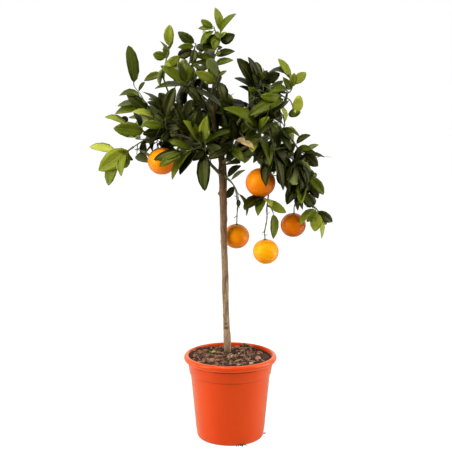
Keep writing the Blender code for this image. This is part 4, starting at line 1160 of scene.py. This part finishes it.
def spiral_leaves(rng, path, count, length, first=0.3):
    """Bases and tips of leaves in a spiral up a twig: each leaves it at an angle that closes from 66 to
    38 degrees, a golden turn on from the one before. Only those within the thick parts are kept."""
    share = np.linspace(first, LAST_LEAF, count)
    base = along(path, share)
    axis = unit(along(path, np.minimum(share + 0.04, 1)) - along(path, share - 0.04))
    other = unit(np.cross(axis, (0.31, 0.9, 0.29)))
    third = np.cross(axis, other)
    spread = np.radians(np.linspace(66, 38, count))[:, None]
    turn = (rng.uniform(0, 2 * np.pi) + GOLDEN_TURN * np.arange(count))[:, None]
    way = np.cos(spread) * axis + np.sin(spread) * (np.cos(turn) * other + np.sin(turn) * third)
    tip = base + way * (length / 1000 * rng.uniform(0.8, 1.12, (count, 1)))
    kept = in_thick_parts(base) & in_thick_parts(tip)
    return base[kept], tip[kept]


def facing_sky(rng, base, tip):
    """Where leaves face when nothing shows it: up and outwards from the stem, rolled either way."""
    outward = unit(((base + tip) / 2 - OUTWARDS_FROM) * (1, 1, 0))
    return (0, 0, 1) + outward * 0.7 + rng.normal(0, 0.45, base.shape)


def leafy_piece(rng, name, twigs, base, tip, breadth, facing, tone, dry=0.0, arch=0.0, nodes=()):
    """One piece of twigs and leaves, with each leaf's tone, chance and dryness at its points. A leaf
    without an arch of its own gets a chance one."""
    count = len(base)
    arch = np.where(arch, arch, rng.uniform(0.03, 0.13, count))
    fold = rng.uniform(0.12, 0.5, count)
    bend, wave = rng.normal(0, 0.022, count), rng.uniform(0.02, 0.1, count)
    point = rng.uniform(0.62, 0.95, count)
    leaves, values, under = leaf_shapes(base, tip, breadth, facing, arch, fold, bend, wave, point)
    own = {"tone": tone, "chance": rng.uniform(0, 1, count), "dryness": np.broadcast_to(dry, count)}
    for key, numbers in own.items():
        values[key] = np.repeat(numbers, len(leaves[0]) // count)
    wood = np.zeros(sum(len(twig[0]) for twig in twigs))
    wood_faces = np.zeros(sum(len(twig[1]) + len(twig[2]) for twig in twigs))
    new_piece(
        name, [*((*twig, 1) for twig in twigs), (*leaves, 0)], [LEAF_GREEN, TWIG_GREEN],
        nodes=nodes, values={key: np.concatenate([wood, field.ravel()]) for key, field in values.items()},
        face_values={"underside": np.concatenate([wood_faces, under])},
    )


def leaf_green():
    """Leaf skin. The midrib and the curved side veins are paler lines on the blade's own coordinates;
    tone takes the colour from old dark green to young yellow-green, the underside is paler and greyer,
    and a dried leaf is tan. The top is glossy, with faint blotches and a relief between the veins."""
    material, tree, shader = new_material(
        "leaf_green", Specular_IOR_Level=0.19, Specular_Tint=(1.0, 0.95, 0.3, 1.0)
    )
    across = compute(tree, "ABSOLUTE", attribute(tree, "across"))
    under, dry = attribute(tree, "underside"), attribute(tree, "dryness")
    blotches = place_mottle(tree, Scale=55.0, Fine_Scale=500.0, Contrast=1.2)
    tone = compute(tree, "MULTIPLY_ADD", attribute(tree, "chance"), 0.16, attribute(tree, "tone"))
    tone = compute(tree, "MULTIPLY_ADD", blotches["Mask"], 0.12, tone)
    green = colour_ramp(tree, compute(tree, "SUBTRACT", tone, 0.1, clamp=True), (
        (0.0, (7, 10, 0)), (0.2, (27, 35, 0)), (0.45, (73, 83, 5)), (0.72, (122, 129, 30)),
        (1.0, (172, 174, 66)),
    ))
    pale = add_node(tree, "HueSaturation", {"Saturation": 0.75, "Value": 1.4, "Color": green}).outputs[0]
    skin = blend(tree, under, green, blend(tree, 0.22, pale, colour(136, 146, 84)))
    midrib = compute(tree, "SUBTRACT", 1.0, compute(tree, "MULTIPLY", across, 11.0), clamp=True)
    along_blade = compute(tree, "MULTIPLY", attribute(tree, "along"), 13.0)
    slant = compute(tree, "MULTIPLY_ADD", across, -3.2, along_blade)
    ridge = compute(tree, "ABSOLUTE", compute(tree, "SUBTRACT", compute(tree, "FRACT", slant), 0.5))
    vein = compute(tree, "MULTIPLY_ADD", ridge, -9.0, 1.0, clamp=True)
    veins = compute(tree, "MAXIMUM", midrib, compute(tree, "MULTIPLY", vein, 0.32))
    line = blend(tree, 0.16, pale, colour(176, 190, 104))
    veined = blend(tree, compute(tree, "MULTIPLY", veins, 0.55), skin, line)
    tan = blend(tree, blotches["Mask"], colour(136, 98, 58), colour(212, 190, 142))
    rough = compute(tree, "MULTIPLY_ADD", blotches["Mask"], 0.12, 0.24)
    rough = compute(tree, "MULTIPLY_ADD", under, 0.25, rough)
    rough = compute(tree, "MULTIPLY_ADD", dry, 0.3, rough)
    grain = compute(tree, "MULTIPLY", blotches["Height"], 0.8)
    relief = compute(tree, "MULTIPLY_ADD", veins, -0.7, grain)
    dress(tree, shader, blend(tree, dry, veined, tan), rough, relief, 0.4, 0.0009)
    return material


def twig_green():
    """Green twigs, browner in patches drawn out along them, and a little waxy."""
    return mottled(
        "twig_green", (58, 56, 24), (104, 122, 50), scales=(80.0, 1100.0), contrast=1.3,
        roughness=(0.62, 0.42), relief=(0.4, 0.0005), stretch=(1, 1, 0.5),
    )


def grown_shoot(name, carrier, places):
    """A shoot's path, kept for what grows on it, and the skin of its twig."""
    PATHS[name] = path = grown_path(carrier, places, 7)
    return path, skinned(branch_shape(path, *TWIG_RADII, TWIG_SIDES, collar=0.5)[None])


LEAF_GREEN, TWIG_GREEN = leaf_green(), twig_green()
rng = np.random.default_rng(29)
for name, (carrier, places, bare, tips) in SHOOTS.items():
    path, twig = grown_shoot(name, carrier, places)
    listed = np.array([(*leaf, 0.0)[:6] for leaf in tips])
    count = len(listed)
    base = along(path, bare + (LAST_LEAF - bare) * np.arange(count) / max(1, count - 1))
    tip = base + (in_crown(listed[:, :3]) - base) * TIP_GAIN
    length = np.linalg.norm(tip - base, axis=1)
    seen = listed[:, 3] * SEEN_GAIN / 1000
    breadth = np.maximum(seen, np.minimum(BREADTH * length, BROADEST))
    finish = listed[:, 4].astype(int)
    facing = facing_front(base, tip, seen, breadth, finish == 5)
    leafy_piece(
        rng, "leaves_" + name.removeprefix("shoot_"), [twig], base, tip, breadth, facing,
        np.array(FINISHES)[finish], (finish == 6) * 1.0, listed[:, 5], [name],
    )
for name, (carrier, places, count, length) in SPIRAL_SHOOTS.items():
    path, twig = grown_shoot(name, carrier, places)
    base, tip = spiral_leaves(rng, path, count, length)
    breadth = np.linalg.norm(tip - base, axis=1) * rng.uniform(0.42, 0.52, len(base))
    tone = np.clip(np.linspace(0.1, 0.6, len(base)) + rng.normal(0, 0.12, len(base)), 0, 1)
    facing = facing_sky(rng, base, tip)
    leafy_piece(
        rng, "leaves_" + name.removeprefix("shoot_"), [twig], base, tip, breadth, facing, tone, nodes=[name]
    )


# Inner foliage -----------------------------------------------------------------------------------
# Short side twigs fill the crown between the shoots. They grow from the boughs and the leader, mostly
# backwards and up, but hang from two low boughs, and carry the older, darker leaves.

TWIG_STEP = 0.025  # between two side twigs, in metres
LEADER_FOOT = 0.66  # the stem's side twigs start at this height
DROOPING = ("bough_hanging", "bough_left_out")  # whose side twigs hang down
SIDE_TWIG_RADII = (1.3, 0.7)
TWIG_LEAVES, TWIG_LEAF_LENGTH = 7, 58

rng = np.random.default_rng(83)
for carrier in ("stem", *BOUGHS):
    core = PATHS[carrier]
    core = core[core[:, 2] > LEADER_FOOT] if carrier == "stem" else core
    reach = np.linalg.norm(np.diff(core, axis=0), axis=1).sum()
    twigs, bases, tips = [], [], []
    lean = (0, 0.1, -0.5) if carrier in DROOPING else (0, 0.55, 0.5)
    for seat in along(core, np.arange(0.15, 1.0, TWIG_STEP / reach)):
        way = unit(rng.normal(0, 1, 3) * (0.75, 0.6, 0.6) + lean)
        middle = seat + way * rng.uniform(0.016, 0.026) + (0, 0, 0.003)
        end = seat + way * rng.uniform(0.034, 0.056) + (0, 0, 0.009)
        twig_path = smooth_line(np.stack([seat, middle, end]), 5)
        base, tip = spiral_leaves(rng, twig_path, TWIG_LEAVES, TWIG_LEAF_LENGTH, first=0.35)
        if len(base):
            radii = np.linspace(*SIDE_TWIG_RADII, len(twig_path)) / 1000
            twigs.append(skinned(tube(twig_path, radii, 6)[None]))
            bases.append(base)
            tips.append(tip)
    base, tip = np.concatenate(bases), np.concatenate(tips)
    breadth = np.linalg.norm(tip - base, axis=1) * rng.uniform(0.44, 0.54, len(base))
    tone = np.clip(rng.normal(0.18, 0.15, len(base)), 0, 0.7)
    leafy_piece(
        rng, "inner_leaves_" + carrier.removeprefix("bough_"), twigs, base, tip, breadth,
        facing_sky(rng, base, tip), tone,
    )


# Dry twig ----------------------------------------------------------------------------------------
# A thin dead twig, bare and bleached by the sun, sticks out of the right of the crown beyond the leaves.
# It starts among the leaves at the end of the right bough.

DRY_TWIG = ((163, -50, 648), (176, -46, 641), (198, -44, 646), (218, -42, 643))
DRY_TWIG_RADII = (1.1, 0.5)


def dry_wood():
    """Bleached dead twig wood with dark cracks along it."""
    return mottled(
        "dry_wood", (96, 78, 56), (176, 160, 130), scales=(150.0, 1500.0), contrast=1.4,
        roughness=(0.9, 0.75), relief=(0.5, 0.0005), stretch=(0.4, 1, 1),
    )


path = smooth_line(in_crown(DRY_TWIG), 12)
shape = closed(branch_shape(path, *DRY_TWIG_RADII, 8, collar=0.3, relief=0.12))
new_piece("dry_twig", [shape], [dry_wood()])


# Seedling ----------------------------------------------------------------------------------------
# A small weed seedling with one long bright leaf and two short ones has come up in the compost to the
# left of the stem, on a stem as thin as a thread.

SEEDLING, SEEDLING_RADIUS = (-44, 6), 0.0007
SEEDLING_STEM = ((0, 0, -3), (0.6, -0.6, 2), (0.8, -1, 5))  # up from its place on the compost
# Its leaves, in metres: (tip from the end of the stem, breadth, tone)
SEEDLING_LEAVES = (
    ((0.011, -0.003, 0.004), 0.0065, 0.8), ((-0.005, -0.003, 0.002), 0.004, 0.5),
    ((0.002, 0.003, 0.003), 0.003, 0.6),
)
seedling_foot = np.array([*SEEDLING, soil_height(*np.array(SEEDLING))])
seedling_path = smooth_line((seedling_foot + np.array(SEEDLING_STEM)) / 1000, 5)
leaf_tips, leaf_breadths, leaf_tones = (np.array(each) for each in zip(*SEEDLING_LEAVES))
base = np.repeat(seedling_path[-1:], len(leaf_tips), axis=0)
facing = np.tile((0.1, -0.6, 1.0), (len(leaf_tips), 1))
seedling_stem = skinned(tube(seedling_path, np.full(len(seedling_path), SEEDLING_RADIUS), 7)[None])
leafy_piece(
    np.random.default_rng(2), "seedling", [seedling_stem], base, base + leaf_tips, leaf_breadths, facing,
    leaf_tones,
)


# Floor, light and camera -------------------------------------------------------------------------
# A plain white floor that keeps the tree's soft shadow, a white surround that is dim in front, as a
# studio is behind the viewer, and soft lamps: two at the sides, two narrow ones in front, two low ones
# beside the pot, and one above.

FLOOR_SIZE, FLOOR_DROP = 60.0, 0.0004  # the floor lies that much under the pot's base
LENS, SENSOR, CAMERA_DIP = 83.4, 36, 9.14  # in millimetres, and degrees below level


def floor_white():
    """White floor: mostly plain white to the camera, with enough of its own shade to keep a shadow."""
    material, tree, shader = new_material("floor_white", Roughness=0.9, Specular_IOR_Level=0.1)
    grain = place_mottle(
        tree, Dark=(0.5, 0.5, 0.5, 1), Light=(0.54, 0.54, 0.54, 1), Scale=3.0, Fine_Scale=60.0
    )
    tree.links.new(grain["Colour"], shader.inputs["Base Color"])
    plain = add_node(tree, "Emission", {"Color": (1, 1, 1, 1), "Strength": 1.62})
    share = compute(tree, "MULTIPLY", add_node(tree, "LightPath").outputs["Is Camera Ray"], 0.6)
    mixed = add_node(tree, "MixShader", {0: share, 1: shader.outputs[0], 2: plain.outputs[0]})
    tree.links.new(mixed.outputs[0], tree.nodes["Material Output"].inputs["Surface"])
    return material


corners = np.array([(-1, -1, 0), (1, -1, 0), (1, 1, 0), (-1, 1, 0)]) * FLOOR_SIZE / 2
floor_mesh = bpy.data.meshes.new("floor")
floor_mesh.from_pydata((corners - (0, 0, FLOOR_DROP)).tolist(), [], [(0, 1, 2, 3)])
floor_mesh.materials.append(floor_white())
floor = bpy.data.objects.new("floor", floor_mesh)
bpy.context.scene.collection.objects.link(floor)

world = bpy.data.worlds.new("surround")
bpy.context.scene.world = world
world.use_nodes = True
world_tree = world.node_tree
rays = add_node(world_tree, "LightPath").outputs
way = add_node(world_tree, "TexCoord").outputs["Generated"]
depth = add_node(world_tree, "SeparateXYZ", {0: way}).outputs["Y"]
studio = value_between(world_tree, depth, 0.03, 1.0, start=-0.75, end=0.25)
dimmed = mixed_value(world_tree, rays["Is Diffuse Ray"], 1.0, 0.3)
seen = compute(world_tree, "MAXIMUM", rays["Is Camera Ray"], rays["Is Transmission Ray"])
strength = mixed_value(world_tree, seen, compute(world_tree, "MULTIPLY", studio, dimmed), 1.0)
background = world_tree.nodes["Background"]
background.inputs["Color"].default_value = (1, 1, 1, 1)
world_tree.links.new(strength, background.inputs["Strength"])

# name: (place, what it points at, breadth, height, watts)
LAMPS = {
    "lamp_left": ((-1.6, -0.8, 1.0), (0, 0, 0.5), 0.9, 1.9, 37),
    "lamp_right": ((1.75, -0.45, 1.0), (0, 0, 0.5), 0.9, 1.9, 27),
    "lamp_front_left": ((-1.2, -1.6, 1.5), (0, 0, 0.5), 0.22, 1.1, 7.5),
    "lamp_front_right": ((1.25, -1.6, 1.4), (0, 0, 0.5), 0.22, 1.1, 6),
    "lamp_low_left": ((-1.0, 0.15, 0.15), (0, 0, 0.1), 0.4, 0.4, 2),
    "lamp_low_right": ((1.0, 0.05, 0.15), (0, 0, 0.1), 0.4, 0.4, 4),
    "lamp_top": ((-0.3, -0.55, 2.2), (0, 0, 0.7), 1.0, 0.8, 28),
}
for name, (place, target, breadth, height, watts) in LAMPS.items():
    lamp = bpy.data.lights.new(name, "AREA")
    lamp.shape, lamp.size, lamp.size_y, lamp.energy = "RECTANGLE", breadth, height, watts
    holder = bpy.data.objects.new(name, lamp)
    holder.location = place
    holder.rotation_euler = (Vector(target) - Vector(place)).to_track_quat("-Z", "Y").to_euler()
    bpy.context.scene.collection.objects.link(holder)

camera_data = bpy.data.cameras.new("camera")
camera_data.lens, camera_data.sensor_width = LENS, SENSOR
camera = bpy.data.objects.new("camera", camera_data)
camera.location = EYE / 1000
camera.rotation_euler = (math.radians(90 - CAMERA_DIP), 0, 0)
bpy.context.scene.collection.objects.link(camera)
bpy.context.scene.camera = camera
bpy.context.scene.view_settings.view_transform = "Standard"
